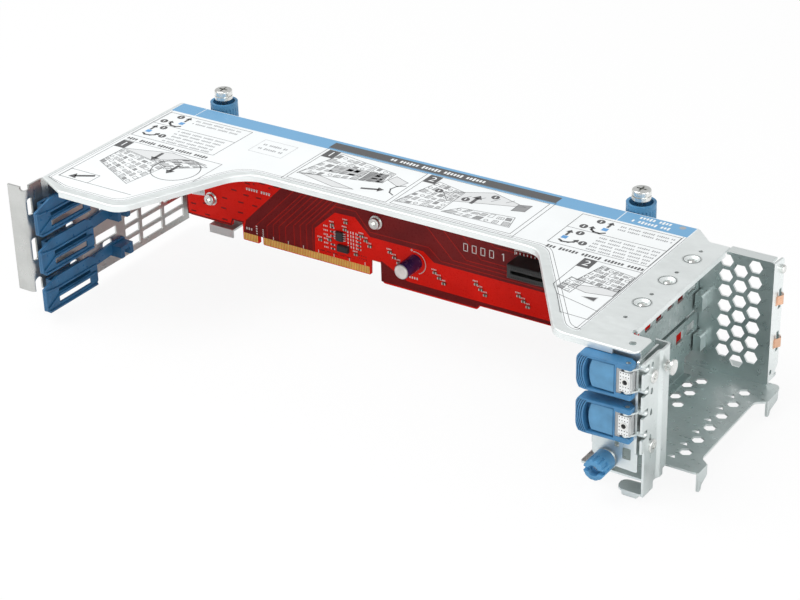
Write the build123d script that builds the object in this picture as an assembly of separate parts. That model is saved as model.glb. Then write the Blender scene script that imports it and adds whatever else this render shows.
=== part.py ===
from build123d import *
import os

os.makedirs("parts", exist_ok=True)

# Riser cage for a rack server: a folded sheet-metal cage that carries a circuit board with
# card connectors, two hinged card latches, card guides and three captive screws.
# Working frame: X along the length, the back edge of the cover at y = 0 with the front
# negative, the top of the cover at z = 0. Everything is moved to the base centre at the end.

# Sheet metal and clearances
sheet = 1.0
running_gap = 0.05
seat_gap = 0.3
slot_pitch = 20.32

# Cover
cover_length = 312.0
cover_front = -114.5
back_length = cover_length - 19.5
step_x = back_length + 9.5
step_y = -9.4
rim_drop = 3.2
fold_lip = 2.6
cut_back = -53.4
cut_left = 80.5
cut_right = cover_length - 71.5
cut_left_front = 53.5
cut_right_front = cover_length - 29.0
ear_reach = 9.0
ear_width = 14.0
ear_hole_radius = 1.65
stud_x = cover_length - 9.2
stud_first_y = -28.7
stud_spacing = 23.15
stud_radius = 2.05
dimple_radius = 3.6

# Label
label_thickness = 0.12
label_margin = 3.0

# Left wall
wall_bottom = -64.5
wall_front_bottom = -56.5
wall_front = -119.0
joggle_y = -105.0
joggle = 1.5
bar_width = 9.5
window_pitch = 6.6
window_height = 4.7

# Circuit board
board_face = -7.0
board_thickness = 1.6
board_left = 4.5
board_right = cover_length - 20.0
board_top = -4.0
tongue_bottom = -65.1
contact_height = 3.8
contact_width = 0.7
contact_pitch = 1.0
contact_thickness = 0.05

# Connectors
connector_length = 56.0
connector_left = cover_length - 108.5
connector_height = 7.2
connector_reach = 11.2
card_plane = -36.2

# Side wall, slot covers and floor
side_face = -14.5
side_right = cover_length + 23.0
floor_top = -60.5
hex_radius = 3.33
hex_pitch = 7.43
hex_column_step = 6.87
first_hex_x = cover_length + 0.6
first_hex_z = -4.2
flange_back = -4.0
spring_y = -7.0
slot_plane = cover_length - 12.8
slot_cover_width = 18.42
slot_cover_centre = -20.8

# Column
rail_x = cover_length + 9.5
rail_front = -115.2
column_x = rail_x + 3.0
column_front = -116.4
column_foot_front = -113.8
column_back = -95.0
front_plate_y = -112.0

# Latches
latch_front = -119.6
latch_back = front_plate_y - sheet - seat_gap
latch_top = -3.6
latch_height = 15.9
hinge_x = rail_x - 2.6
hinge_y = -117.2
hinge_reach = 3.0
hinge_pin_radius = 1.0
knuckle_radius = 2.0
knuckle_thickness = 0.8
knuckle_gap = 0.25
clear_left = hinge_x - 4.3
latch_left = clear_left - 19.4
arm_height = 2.2
button_travel = 1.0

# Thumbscrews
captive_x = (21.3, cover_length - 53.0)
captive_y = 8.2
captive_shank = 2.5
captive_waist = 2.0
knob_radius = 7.0
knob_top = 2.0
ear_top = -14.0
front_knob_x = cover_length - 4.8
front_knob_z = -54.7
front_knob_radius = 4.8
front_knob_length = 10.4
front_shank = 2.0
front_waist = 1.6

# Card guides
guide_centre = -38.3
groove_half = 1.6


def rounded_face(points):
    """Face from corner points (u, v, corner radius), all in one plane."""
    face = make_face(Polyline([(u, v) for u, v, r in points], close=True))
    for u, v, r in points:
        if r > 0:
            corner = face.vertices().sort_by_distance((u, v, 0))[0]
            face = fillet([corner], r)
    return face


def flat(face, bottom, thickness):
    """Plate lying in XY, from its bottom upwards."""
    return extrude(Plane.XY.offset(bottom) * face, amount=thickness)


def facing(face, front, thickness):
    """Plate standing in XZ, from its front face backwards (+Y)."""
    return extrude(Plane.XZ.offset(-front) * face, amount=-thickness)


def endways(face, left, thickness):
    """Plate standing in YZ, from its left face to the right (+X)."""
    return extrude(Plane.YZ.offset(left) * face, amount=thickness)


def block(x0, x1, y0, y1, z0, z1):
    """Box between two corners."""
    return Pos((x0 + x1) / 2, (y0 + y1) / 2, (z0 + z1) / 2) * Box(x1 - x0, y1 - y0, z1 - z0)


def rod_x(radius, x0, x1, y, z):
    """Cylinder along X."""
    return Pos((x0 + x1) / 2, y, z) * Rot(0, 90, 0) * Cylinder(radius, x1 - x0)


def rod_y(radius, y0, y1, x, z):
    """Cylinder along Y."""
    return Pos(x, (y0 + y1) / 2, z) * Rot(90, 0, 0) * Cylinder(radius, y1 - y0)


def rod_z(radius, z0, z1, x, y):
    """Cylinder along Z."""
    return Pos(x, y, (z0 + z1) / 2) * Cylinder(radius, z1 - z0)


def window(u, v, width, height, radius=0.6):
    """Rounded opening in the plane of a wall."""
    return Pos(u, v) * RectangleRounded(width, height, radius)


nodes = {}

# Cover: outline with the U cut-out, front ear and relief notches, and a rim turned down all
# along the front and the cut-out.
ear_right = cover_length + ear_reach
ear_back = cover_front + ear_width
cover_outline = rounded_face(
    [
        (0, 0, 1.5),
        (back_length, 0, 3),
        (step_x, step_y, 3),
        (cover_length, step_y, 0.5),
        (cover_length, ear_back, 0),
        (ear_right, ear_back, 1.5),
        (ear_right, cover_front, 3.5),
        (cut_right_front, cover_front, 10),
        (cut_right, cut_back, 11),
        (cut_left, cut_back, 18),
        (cut_left_front, cover_front, 9),
        (17.0, cover_front, 1),
        (0, -106.0, 1),
    ]
)
relief = Pos(cover_length, ear_back + 1.8) * Circle(1.5)
cover_outline -= relief
inner_outline = offset(cover_outline, -sheet)
rim_right = cover_length - 2.0
rim_zone = make_face(Polyline([(17.5, -50), (17.5, -118), (rim_right, -118), (rim_right, -50)], close=True))
rim = (cover_outline - inner_outline) & rim_zone
top_cover = flat(cover_outline, -sheet, sheet) + flat(rim, -rim_drop, rim_drop - sheet)
top_cover += block(
    cover_length - sheet, cover_length, ear_back + 4, side_face - seat_gap, -fold_lip, -sheet
)
ear_hole_x = cover_length + 3.8
ear_hole_y = ear_back - 7.4
top_cover -= rod_z(ear_hole_radius, -3, 1, ear_hole_x, ear_hole_y)
stud_ys = [stud_first_y - stud_spacing * i for i in range(3)]
for y in stud_ys:
    top_cover -= Pos(stud_x, y, -0.45) * Cone(stud_radius + 0.3, dimple_radius, 0.9)
    top_cover -= rod_z(stud_radius, -2, 1, stud_x, y)
    top_cover -= rod_z(1.0, -2, 1, stud_x, y + 8.6)
top_cover -= rod_z(1.0, -2, 1, stud_x, stud_ys[2] - 14.7)
bright_edges = top_cover.edges().filter_by_position(Axis.Z, -0.001, 0.001)
bright_edges = bright_edges.filter_by(lambda e: e.center().Y < -50 and 18 < e.center().X < cover_length - 3)
bright_edges = bright_edges.filter_by(lambda e: e.length > 3.5 and e.center().X < cover_length - 14)
top_cover = fillet(bright_edges, 0.8)
nodes["top_cover"] = top_cover

# Label film on the cover, following the cut-out.
label_right = cover_length - 20.0
label_outline = rounded_face(
    [
        (2.3, -0.8, 1),
        (label_right, -0.8, 1),
        (label_right, cover_front + 4.5, 1),
        (cut_right_front + label_margin, cover_front + 4.5, 9),
        (cut_right + label_margin, cut_back + label_margin, 12),
        (cut_left - label_margin, cut_back + label_margin, 18),
        (cut_left_front - label_margin, cover_front + 4.5, 9),
        (17.0, cover_front + 4.5, 1),
        (2.3, -104.0, 1),
    ]
)
nodes["instruction_label"] = flat(label_outline, 0, label_thickness)

# Strip under the cover that the studs clamp, with a leg behind the slot covers.
slot_rail = block(slot_plane - 4, slot_plane + 7, -100, side_face - 1.5, -2 * sheet, -sheet)
slot_rail += block(slot_plane - sheet, slot_plane, -100, side_face - 1.5, -13.5, -2 * sheet)
for y in stud_ys:
    slot_rail -= rod_z(stud_radius, -3, 0, stud_x, y)
nodes["slot_rail"] = slot_rail

# Domed studs in the dimples.
studs = []
for y in stud_ys:
    stud = rod_z(stud_radius, -2 * sheet - 0.4, -1.45, stud_x, y)
    stud += Pos(stud_x, y, -1.45) * Sphere(stud_radius, arc_size1=0)
    stud += rod_z(stud_radius + 0.8, -2 * sheet - 0.8, -2 * sheet, stud_x, y)
    studs.append(stud)
nodes["cover_studs"] = Compound(children=studs)

# Left wall: one folded sheet seen from above as a line with a joggle and the end bar.
wall_path = FilletPolyline(
    (sheet / 2, -2),
    (sheet / 2, joggle_y + 1.5),
    (sheet / 2 - joggle, joggle_y - 1.5),
    (sheet / 2 - joggle, wall_front + sheet / 2),
    (sheet / 2 - joggle - bar_width, wall_front + sheet / 2),
    radius=[1.2, 1.2, 2.2],
)
wall_plan = trace(wall_path, sheet)
left_wall = flat(wall_plan, wall_bottom, -wall_bottom - sheet)
left_wall -= block(-20, 3, -125, -88, wall_bottom - 1, wall_front_bottom)
left_wall += block(sheet, 9, -60, -8, -2 * sheet, -sheet)
wall_holes = Sketch()
for row in range(8):
    z = -59.05 + window_pitch * row
    wall_holes += window(-13.7, z, 15.4, window_height)
    wall_holes += window(-31.35, z, 15.7, window_height)
for row in range(6):
    wall_holes += window(-46.9, -59.05 + window_pitch * row, 10.8, window_height)
wall_holes += window(-66.85, -47.2, 15.7, 4.6)
for z in (-12.5, -32.8, -53.6):
    wall_holes += window(-66.7, z, 6.6, 7.2, 1.5)
    wall_holes += window(-92.0, z, 5.0, 6.8, 1.5)
wall_holes += window(-115.6, -11.9, 3.3, 8.7, 1.2)
wall_holes += window(-115.6, -34.4, 3.3, 11.6, 1.2)
wall_holes += window(-115.4, -55.5, 4.4, 12.0, 2.0)
left_wall -= endways(wall_holes, -4, 6)
left_wall -= rod_y(1.6, -122, -115, -1.4, -1.6)
nodes["left_wall"] = left_wall

# Back rail: sheet behind the board with a top flange, ears for the captive screws and a
# folded tab under the board.
rail_right = cover_length - 18.0
back_rail = block(sheet, rail_right, -sheet, 0, floor_top, -2 * sheet)
back_rail += block(12, rail_right - 6, -5, 0, -2 * sheet, -sheet)
back_rail += block(20, 35, board_face - 1, 0, floor_top - 1, floor_top)
back_rail += block(20, 35, board_face - 2, board_face - 1, -65.0, floor_top)
for x in captive_x:
    ear = Pos(x, captive_y / 2) * Rectangle(20, captive_y) + Pos(x, captive_y) * Circle(10)
    ear -= Pos(x, -8) * Rectangle(30, 16)
    back_rail += flat(ear, ear_top - sheet, sheet)
    back_rail -= rod_z(3.6, ear_top - 3, ear_top + 1, x, captive_y)
nodes["back_rail"] = back_rail

# Board with its edge tongue, key notch and stepped lower edge.
board_outline = rounded_face(
    [
        (board_left, board_top, 1),
        (board_right, board_top, 1),
        (board_right, -65.6, 1),
        (182.0, -65.6, 0),
        (180.5, -67.8, 1),
        (125.8, -67.8, 2),
        (125.1, -56.6, 0.3),
        (119.2, -56.6, 0.3),
        (118.9, tongue_bottom, 0.6),
        (53.0, tongue_bottom, 0.6),
        (53.0, -57.5, 0.3),
        (50.5, -57.5, 0.3),
        (50.5, tongue_bottom, 0.6),
        (40.3, tongue_bottom, 0.6),
        (40.3, -55.6, 0.3),
        (34.0, -55.6, 0.3),
        (33.0, -59.0, 0.5),
        (board_left, -59.0, 3),
    ]
)
screw_spots = [(21.4, -46.3), (123.5, -35.0), (cover_length - 40.0, -30.0)]
for x, z in screw_spots:
    board_outline -= Pos(x, z) * Circle(1.6)
riser_board = facing(board_outline, board_face, board_thickness)
nodes["riser_board"] = riser_board

# Gold fingers on both faces of the tongue.
fingers = []
finger_xs = [41.2 + contact_pitch * i for i in range(9)] + [53.9 + contact_pitch * i for i in range(65)]
for x in finger_xs:
    for y0 in (board_face - contact_thickness, board_face + board_thickness):
        low = tongue_bottom + 0.4
        fingers.append(
            block(
                x - contact_width / 2,
                x + contact_width / 2,
                y0,
                y0 + contact_thickness,
                low,
                low + contact_height,
            )
        )
nodes["edge_contacts"] = Compound(children=fingers)

# Screws that hold the board, with washers in front and spacers behind.
screws = []
washers = []
spacers = []
for x, z in screw_spots:
    washer_front = board_face - 0.8
    head_front = washer_front - 2.4
    head = rod_y(3.0, head_front, washer_front, x, z)
    head = fillet(head.edges().sort_by(Axis.Y)[0], 0.6)
    socket = Plane.XZ.offset(-head_front + 0.1) * (Pos(x, z) * RegularPolygon(1.5, 6))
    head -= extrude(socket, amount=-1.6)
    screws.append(head + rod_y(1.5, washer_front, -sheet - 1.5, x, z))
    washers.append(rod_y(3.6, washer_front, board_face, x, z) - rod_y(1.6, -12, 0, x, z))
    spacer = Plane.XZ.offset(sheet) * (Pos(x, z) * RegularPolygon(2.9, 6))
    spacer = extrude(spacer, amount=-board_face - board_thickness - sheet)
    spacers.append(spacer - rod_y(1.5, -12, -sheet - 1.5, x, z))
nodes["board_screws"] = Compound(children=screws)
nodes["board_washers"] = Compound(children=washers)
nodes["board_spacers"] = Compound(children=spacers)


def connector(centre):
    """Card connector with its card slot and key rib, standing out of the board."""
    right = connector_left + connector_length
    front = board_face - connector_reach
    half = connector_height / 2
    shell = block(connector_left, right, front, board_face, centre - half, centre + half)
    shell = chamfer(shell.faces().sort_by(Axis.Y)[0].edges(), 0.5)
    left_part = block(connector_left + 2.2, right - 15.0, front - 1, board_face - 2.5, centre - 0.9, centre + 0.9)
    right_part = block(right - 13.2, right - 2.2, front - 1, board_face - 2.5, centre - 0.9, centre + 0.9)
    return shell - left_part - right_part


nodes["slot_connector_lower"] = connector(card_plane)
nodes["slot_connector_upper"] = connector(card_plane + slot_pitch)

# Capacitor: can with a crimped groove, in a sleeve that leaves its end open.
can_x = 145.4
can_z = -51.3
can_radius = 3.8
can_front = board_face - 13.0
can = rod_y(can_radius, can_front, board_face, can_x, can_z)
can = fillet(can.edges().sort_by(Axis.Y)[0], 0.8)
groove = rod_y(can_radius + 1, -10.4, -9.4, can_x, can_z) - rod_y(can_radius - 0.6, -12, -8, can_x, can_z)
nodes["capacitor_can"] = can - groove
sleeve = rod_y(can_radius + 0.25, can_front + 0.9, board_face, can_x, can_z)
sleeve -= rod_y(can_radius, can_front - 1, board_face + 1, can_x, can_z)
nodes["capacitor_sleeve"] = sleeve

# Control chip with gull-wing leads, power diode and small chip parts.
chip_x = 101.5
chip_z = -48.0
chip = block(chip_x - 2.0, chip_x + 2.0, board_face - 1.75, board_face - 0.1, chip_z - 2.5, chip_z + 2.5)
chip = chamfer(chip.faces().sort_by(Axis.Y)[0].edges(), 0.25)
leads = []
for row in range(4):
    z = chip_z - 1.905 + 1.27 * row
    for side in (-1, 1):
        near = chip_x + side * 2.0
        far = chip_x + side * 3.0
        lead = block(min(near, far), max(near, far), board_face - 0.9, board_face - 0.7, z - 0.2, z + 0.2)
        tip = far + side * 0.4
        lead += block(min(far, tip), max(far, tip), board_face - 0.9, board_face, z - 0.2, z + 0.2)
        leads.append(lead)
nodes["control_chip"] = chip
nodes["chip_leads"] = Compound(children=leads)
diode = block(100.2, 106.6, board_face - 2.3, board_face, -56.0, -52.6)
nodes["power_diode"] = chamfer(diode.faces().sort_by(Axis.Y)[0].edges(), 0.4)
chips = []
chip_spots = [
    (89.5, -52.9),
    (105.3, -39.7),
    (97.0, -42.8),
    (104.7, -43.7),
    (95.1, -51.6),
    (114.7, -44.8),
    (117.0, -46.7),
    (119.2, -49.2),
    (110.8, -55.8),
]
chip_rows = [(131.1, -49.4), (157.0, -53.9), (180.4, -54.0), (204.0, -54.0)]
chip_spots += [(x + 2.5 * i, z - 2.3 * i) for x, z in chip_rows for i in range(3)]
for x, z in chip_spots:
    chips.append(block(x - 1.0, x + 1.0, board_face - 0.9, board_face, z - 0.6, z + 0.6))
nodes["chip_parts"] = Compound(children=chips)

# Side wall with honeycomb holes, folded top and end flanges, and loops for the slot covers.
side_left = slot_plane - 6.2
wall_face = rounded_face(
    [
        (side_left, -2.2, 0),
        (cover_length + 0.4, -2.2, 0),
        (cover_length + 0.4, 0, 0),
        (side_right, 0, 1.5),
        (side_right, floor_top, 1.5),
        (side_left, floor_top, 1),
    ]
)
for column in range(3):
    drop = hex_pitch / 2 if column == 1 else 0
    for row in range(7):
        spot = Pos(first_hex_x + hex_column_step * column, first_hex_z - drop - hex_pitch * row)
        wall_face -= spot * RegularPolygon(hex_radius, 6)
tail_drop = 5.0
tail_width = 7.0
loop_reach = 5.4
tail_centres = (slot_cover_centre - tail_drop, slot_cover_centre - slot_pitch - tail_drop)
for z in tail_centres:
    wall_face -= Pos(slot_plane + sheet / 2, z) * Rectangle(sheet + 0.6, tail_width + 0.6)
side_wall = facing(wall_face, side_face, sheet)
side_wall += block(cover_length + 0.4, side_right - 1.5, side_face + sheet, step_y + 1, -sheet, 0)
end_flange = rounded_face(
    [(side_face, -0.5, 0), (flange_back, -1.5, 1.5), (flange_back, -54.0, 3), (-9.5, -59.0, 2), (side_face, -59.0, 0)]
)
spring_levels = (-20.4, -41.6)
screw_y = flange_back - 2.4
screw_z = -6.1
end_flange -= Pos(screw_y, screw_z) * Circle(1.2)
end_flange -= Pos(-12.0, -55.0) * Circle(1.2)
for z in spring_levels:
    end_flange -= Pos(spring_y, z) * Rectangle(3.0, 9.6)
side_wall += endways(end_flange, side_right - sheet, sheet)
for z in tail_centres:
    loop = block(slot_plane + 1.6, slot_plane + 5.3, side_face - loop_reach, side_face, z - 4.2, z + 4.2)
    loop = fillet(loop.edges().filter_by(Axis.Y).sort_by(Axis.X)[-2:], 1.4)
    hollow = block(slot_plane + 1.0, slot_plane + 4.5, side_face - loop_reach + 0.8, side_face, z - 3.4, z + 3.4)
    side_wall += loop - hollow
nodes["side_wall"] = side_wall

# Copper spring fingers that bulge out of slots in the end flange, and the flange screw.
springs = []
for z in spring_levels:
    blade = Plane.XY.offset(z - 2.2) * trace(
        FilletPolyline(
            (side_right + 0.18, spring_y - 2.6),
            (side_right + 1.9, spring_y + 0.2),
            (side_right + 0.18, spring_y + 2.6),
            radius=1.2,
        ),
        0.25,
    )
    blade = extrude(blade, amount=4.4)
    foot = block(side_right, side_right + 0.25, spring_y - 3.6, spring_y - 1.6, z - 2.2, z + 2.2)
    springs.append(blade + foot)
nodes["emi_springs"] = Compound(children=springs)
flange_screw = rod_x(2.0, side_right, side_right + 1.5, screw_y, screw_z)
flange_screw = fillet(flange_screw.edges().sort_by(Axis.X)[-1], 0.7)
flange_screw += rod_x(1.2, side_right - 4, side_right, screw_y, screw_z)
nodes["flange_screw"] = flange_screw


first_vent_y = -22.2
vent_pitch = 10.15


def slot_cover(centre):
    """Blank cover for a card slot: vented strip with a tail and a folded top tab."""
    half = slot_cover_width / 2
    top = centre + half
    low = centre - half
    face = rounded_face(
        [
            (front_plate_y - sheet, top, 0),
            (side_face - 0.8, top, 1),
            (side_face - 0.8, low, 1),
            (front_plate_y - sheet, low, 0),
        ]
    )
    face -= Pos(front_plate_y - 0.5, low + 4) * Rectangle(5, 9.5)
    vent_row = centre + 3.6
    for step in (0, 1, 3, 4, 5, 6):
        face -= window(first_vent_y - vent_pitch * step, vent_row, 6.8, 4.9, 0.3)
    arch = Circle(3.0) & Pos(0, 2) * Rectangle(8, 4)
    face -= Pos(first_vent_y - 2 * vent_pitch, vent_row - 1.6) * arch
    strip = endways(face, slot_plane, sheet)
    tail_z = centre - tail_drop
    strip += block(
        slot_plane, slot_plane + sheet, side_face - 1, side_face + 2.6, tail_z - tail_width / 2, tail_z + tail_width / 2
    )
    strip += block(
        slot_plane + sheet, slot_plane + 11.5, front_plate_y - sheet, front_plate_y, top - 9.4, top
    )
    return strip


nodes["slot_cover_upper"] = slot_cover(slot_cover_centre)
nodes["slot_cover_lower"] = slot_cover(slot_cover_centre - slot_pitch)

# Floor with hexagonal and part holes, and two hooks bent down at its outer edge.
floor_left = slot_plane - 4.7
floor_right = side_right + 5.6
floor_outline = rounded_face(
    [
        (floor_left, -1.2, 1),
        (side_right - 1.5, -1.2, 1),
        (side_right - 1.5, -11.5, 0),
        (floor_right, -11.5, 3),
        (floor_right, -27.5, 2),
        (floor_right - 4.6, -30.0, 4),
        (floor_right - 3.6, -83.5, 4),
        (floor_right, -86.0, 2),
        (floor_right, -95.0, 2),
        (column_x - 0.9, -95.0, 0),
        (column_x - 0.9, -110.8, 1),
        (floor_left, -110.8, 1),
    ]
)
outer_hex_x = side_right - 6.0
inner_hex_x = slot_plane + 9.2
floor_hexes = [(outer_hex_x, -24.9 - 11.46 * i) for i in range(6)]
floor_hexes += [(inner_hex_x, -25.4 - 11.6 * i) for i in range(3)]
floor_hexes += [(inner_hex_x - 4.3, -31.2), (inner_hex_x - 4.3, -42.6)]
for x, y in floor_hexes:
    floor_outline -= Pos(x, y) * Rot(0, 0, 30) * RegularPolygon(3.0, 6)
for i in range(6):
    floor_outline -= Pos(outer_hex_x - 3.4, -30.6 - 11.46 * i) * Rot(0, 0, 90) * RegularPolygon(2.2, 3)
for y in (-25.5, -36.9, -48.3):
    floor_outline -= Pos(inner_hex_x - 7.4, y) * Rot(0, 0, 90) * RegularPolygon(2.2, 3)
bottom_plate = flat(floor_outline, floor_top - sheet, sheet)
for y0, y1, depth in ((-94.8, -86.4, 9.5), (-27.3, -16.0, 8.0)):
    bend = rounded_face(
        [
            (y0, floor_top, 0),
            (y1, floor_top, 0),
            (y1, floor_top - depth * 0.55, 1.5),
            (y0 + 3.4, floor_top - depth * 0.75, 1.5),
            (y0 + 2.6, floor_top - depth, 1),
            (y0, floor_top - depth, 1),
        ]
    )
    bottom_plate += endways(bend, floor_right - sheet / 2, sheet)
nodes["bottom_plate"] = bottom_plate

# Narrow front wall between the slot covers and the column.
front_plate_left = slot_plane + sheet + seat_gap
front_face = rounded_face(
    [
        (front_plate_left, -1.2, 0),
        (rail_x, -1.2, 0),
        (rail_x, -57.5, 1),
        (front_plate_left + 9.0, -57.0, 1),
        (front_plate_left, -53.5, 2),
    ]
)
front_face -= window(rail_x - 5.0, -49.7, 3.8, 5.4, 0.5)
front_face -= window(rail_x - 9.6, -46.4, 2.0, 2.6, 0.3)
front_face += Pos(front_knob_x, front_knob_z) * Circle(5.0)
front_face -= Pos(front_knob_x, front_knob_z) * Circle(3.0)
nodes["front_plate"] = facing(front_face, front_plate_y, sheet)

# Latch rail: inner upright with a knuckle above and below each latch.
latch_tops = (latch_top, latch_top - slot_pitch)
rail_face = rounded_face(
    [(rail_front, -3.4, 1), (-97.0, -3.4, 1), (-97.0, -47.5, 1), (rail_front, -47.5, 2)]
)
screw_marks = ((-108.0, -12.3), (-107.4, -45.2))
for y, z in screw_marks:
    rail_face -= Pos(y, z) * Circle(1.5)
latch_rail = endways(rail_face, rail_x, sheet)
knuckle_levels = []
for top in latch_tops:
    knuckle_levels.append(top - arm_height - knuckle_gap - knuckle_thickness)
    knuckle_levels.append(top - latch_height + arm_height + knuckle_gap)
for z in knuckle_levels:
    knuckle = Pos(hinge_x, hinge_y) * Circle(knuckle_radius)
    knuckle += make_face(
        Polyline(
            [
                (hinge_x + 1.3, hinge_y - 1.5),
                (rail_x + sheet, rail_front),
                (rail_x + sheet, rail_front + 3),
                (rail_x, rail_front + 3),
                (hinge_x - 1.2, hinge_y + 1.6),
            ],
            close=True,
        )
    )
    knuckle -= Pos(hinge_x, hinge_y) * Circle(hinge_pin_radius)
    latch_rail += flat(knuckle, z, knuckle_thickness)
    boss_y = rail_front + 1.6
    middle = z + knuckle_thickness / 2
    latch_rail += rod_x(1.3, rail_x + sheet - 0.2, column_x + 0.4, boss_y, middle)
    latch_rail += Pos(column_x + 0.4, boss_y, middle) * Sphere(1.3)
nodes["latch_rail"] = latch_rail

# Column plate: outer upright with a joggle, a return flange and a foot tongue.
notch_half = 1.7
column_plan = trace(
    FilletPolyline(
        (column_x + sheet / 2, column_front),
        (column_x + sheet / 2, -103.0),
        (column_x + 1.5 * sheet, -101.0),
        (column_x + 1.5 * sheet, column_back),
        (rail_x - 2.0, column_back),
        radius=[1.0, 1.0, 1.2],
    ),
    sheet,
)
column_plate = flat(column_plan, -66.0, 63.0)
outside = column_x + 3 * sheet
column_plate -= block(rail_x - 4, outside, -98.5, column_back + 2, -70, floor_top)
column_plate -= block(rail_x - 4, outside, -105.0, -98.5, -70, -63.5)
column_plate -= block(column_x - 1, outside, column_front - 1, column_foot_front, -70, -45.0)
for z in knuckle_levels:
    middle = z + knuckle_thickness / 2
    column_plate -= block(
        column_x - 1, outside, column_front - 1, rail_front + 3.4, middle - notch_half, middle + notch_half
    )
for z in (-6.7, -18.6, -28.4, -40.5):
    column_plate -= endways(window(-109.0, z, 1.8, 3.0, 0.8), column_x - 1, 4)
for y, z in screw_marks:
    column_plate -= rod_x(1.5, column_x - 1, outside, y, z)
tongue = rounded_face(
    [
        (column_x, -105.2, 1),
        (column_x, column_foot_front, 1),
        (column_x - 11.5, column_foot_front, 4),
        (column_x - 12.5, -106.0, 3),
    ]
)
column_plate += flat(tongue, -66.0 - sheet, sheet)
column_plate += block(column_x, column_x + sheet, column_foot_front, -105.2, -66.0 - sheet, -66.0)
lip = block(column_x - 9, column_x - 1.5, column_foot_front, column_foot_front + sheet, -68.6, -66.5)
column_plate += fillet(lip.edges().filter_by(Axis.Y).sort_by(Axis.Z)[:2], 1.0)
nodes["column_plate"] = column_plate

# Screws through the column into the latch rail, and the flat-headed locating stud.
screws = []
for y, z in screw_marks:
    head = rod_x(3.0, column_x + sheet, column_x + sheet + 0.9, y, z)
    head = fillet(head.edges().sort_by(Axis.X)[-1], 0.4)
    socket = Plane.YZ.offset(column_x + sheet + 0.3) * (Pos(y, z) * RegularPolygon(1.4, 6))
    head -= extrude(socket, amount=2)
    screws.append(head + rod_x(1.5, rail_x - 1.5, column_x + sheet, y, z))
nodes["column_screws"] = Compound(children=screws)
stud_y = -98.6
stud_z = -11.6
outer = column_x + 2 * sheet
locating_stud = rod_x(1.7, outer, outer + 2.6, stud_y, stud_z)
locating_stud += rod_x(2.4, outer, outer + 0.6, stud_y, stud_z)
locating_stud += rod_x(3.3, outer + 2.6, outer + 3.5, stud_y, stud_z)
nodes["locating_stud"] = locating_stud


def bowed_face(left, right, low, top, bow):
    """Upright face whose left side bows outwards."""
    straight = Polyline([(left + bow, low), (right, low), (right, top), (left + bow, top)])
    side = ThreePointArc((left + bow, top), (left, (low + top) / 2), (left + bow, low))
    return make_face(straight.edges() + side.edges())


def latch_parts(top):
    """Hinged lever, its button and clear block, and the fixed pin, for a latch at one height."""
    low = top - latch_height
    middle = (top + low) / 2
    plan = rounded_face(
        [
            (clear_left, latch_front, 0),
            (latch_left + 5.5, latch_front - 0.7, 8),
            (latch_left + 1.3, latch_front + 0.1, 2),
            (latch_left, latch_front + 2.4, 1),
            (latch_left + 4.2, latch_back, 1),
            (clear_left, latch_back, 0),
        ]
    )
    lever = flat(plan, low, latch_height)
    lever &= facing(bowed_face(latch_left, clear_left, low, top, 2.8), latch_front - 2, 12)
    for i in range(4):
        inset = latch_left + 0.9 + 1.05 * i
        groove = ThreePointArc((inset + 2.4, top - 0.6), (inset, middle), (inset + 2.4, low + 0.6))
        lever -= facing(trace(groove, 0.4), latch_front - 2, 2.5)
    pocket = bowed_face(latch_left + 5.1, clear_left - 0.6, low + 1.1, top - 1.1, 1.6)
    floor_y = latch_front + 4.0
    lever -= facing(pocket, latch_front - 2, floor_y - latch_front + 2)
    stem_x = latch_left + 13.0
    lever -= rod_y(1.5 + running_gap, floor_y - 1, latch_back + 1, stem_x, middle)
    arm = make_face(
        Polyline(
            [
                (clear_left - 0.2, latch_front),
                (hinge_x + 2.4, latch_front),
                (hinge_x + 2.4, latch_back),
                (clear_left - 0.2, latch_back),
            ],
            close=True,
        )
    )
    near_hinge = Pos(hinge_x, hinge_y) * Circle(hinge_reach)
    near_hinge += Pos(hinge_x - 10, hinge_y) * Rectangle(20, 30)
    arm &= near_hinge
    lever += flat(arm, top - arm_height, arm_height)
    lever += flat(arm, low, arm_height)
    pin_hole = rod_z(hinge_pin_radius + running_gap, low - 1, top + 1, hinge_x, hinge_y)
    lever -= pin_hole
    pad = bowed_face(latch_left + 7.0, clear_left - 0.9, low + 1.6, top - 1.6, 1.4)
    button = facing(pad, latch_front + 0.3, 2.4)
    button = fillet(button.edges().sort_by(Axis.Y)[:4], 0.5)
    stem_end = latch_back - button_travel - 0.1
    button += rod_y(1.5, latch_front + 2.6, stem_end, stem_x, middle)
    clear_front = latch_front + 0.3
    clear_back = latch_back - 1.0
    step_x = hinge_x - knuckle_radius - 0.2
    clear = block(clear_left, step_x, clear_front, clear_back, low + arm_height, top - arm_height)
    clear_low = low + arm_height + knuckle_thickness + 2 * knuckle_gap
    clear_top = top - arm_height - knuckle_thickness - 2 * knuckle_gap
    core = flat(arm, clear_low, clear_top - clear_low)
    clear += core & block(step_x, hinge_x + 4, clear_front, clear_back, clear_low, clear_top)
    clear -= pin_hole
    plate_front = clear_front - 0.2
    plate = block(clear_left + 1.5, hinge_x + 1.9, plate_front, clear_front, clear_low, clear_top)
    ring_x = hinge_x - 0.2
    plate -= rod_y(1.7, -130, -100, ring_x, middle)
    ring = rod_y(1.7, plate_front - 0.3, clear_front, ring_x, middle)
    ring -= rod_y(1.1, -130, -100, ring_x, middle)
    pin = rod_z(hinge_pin_radius, low, top, hinge_x, hinge_y)
    return lever, button, clear, plate, ring, pin


for place, top in zip(("upper", "lower"), latch_tops):
    lever, button, clear, plate, ring, pin = latch_parts(top)
    nodes["latch_lever_" + place] = lever
    nodes["latch_button_" + place] = button
    nodes["latch_window_" + place] = clear
    nodes["latch_plate_" + place] = plate
    nodes["latch_ring_" + place] = ring
    nodes["hinge_pin_" + place] = pin

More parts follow.
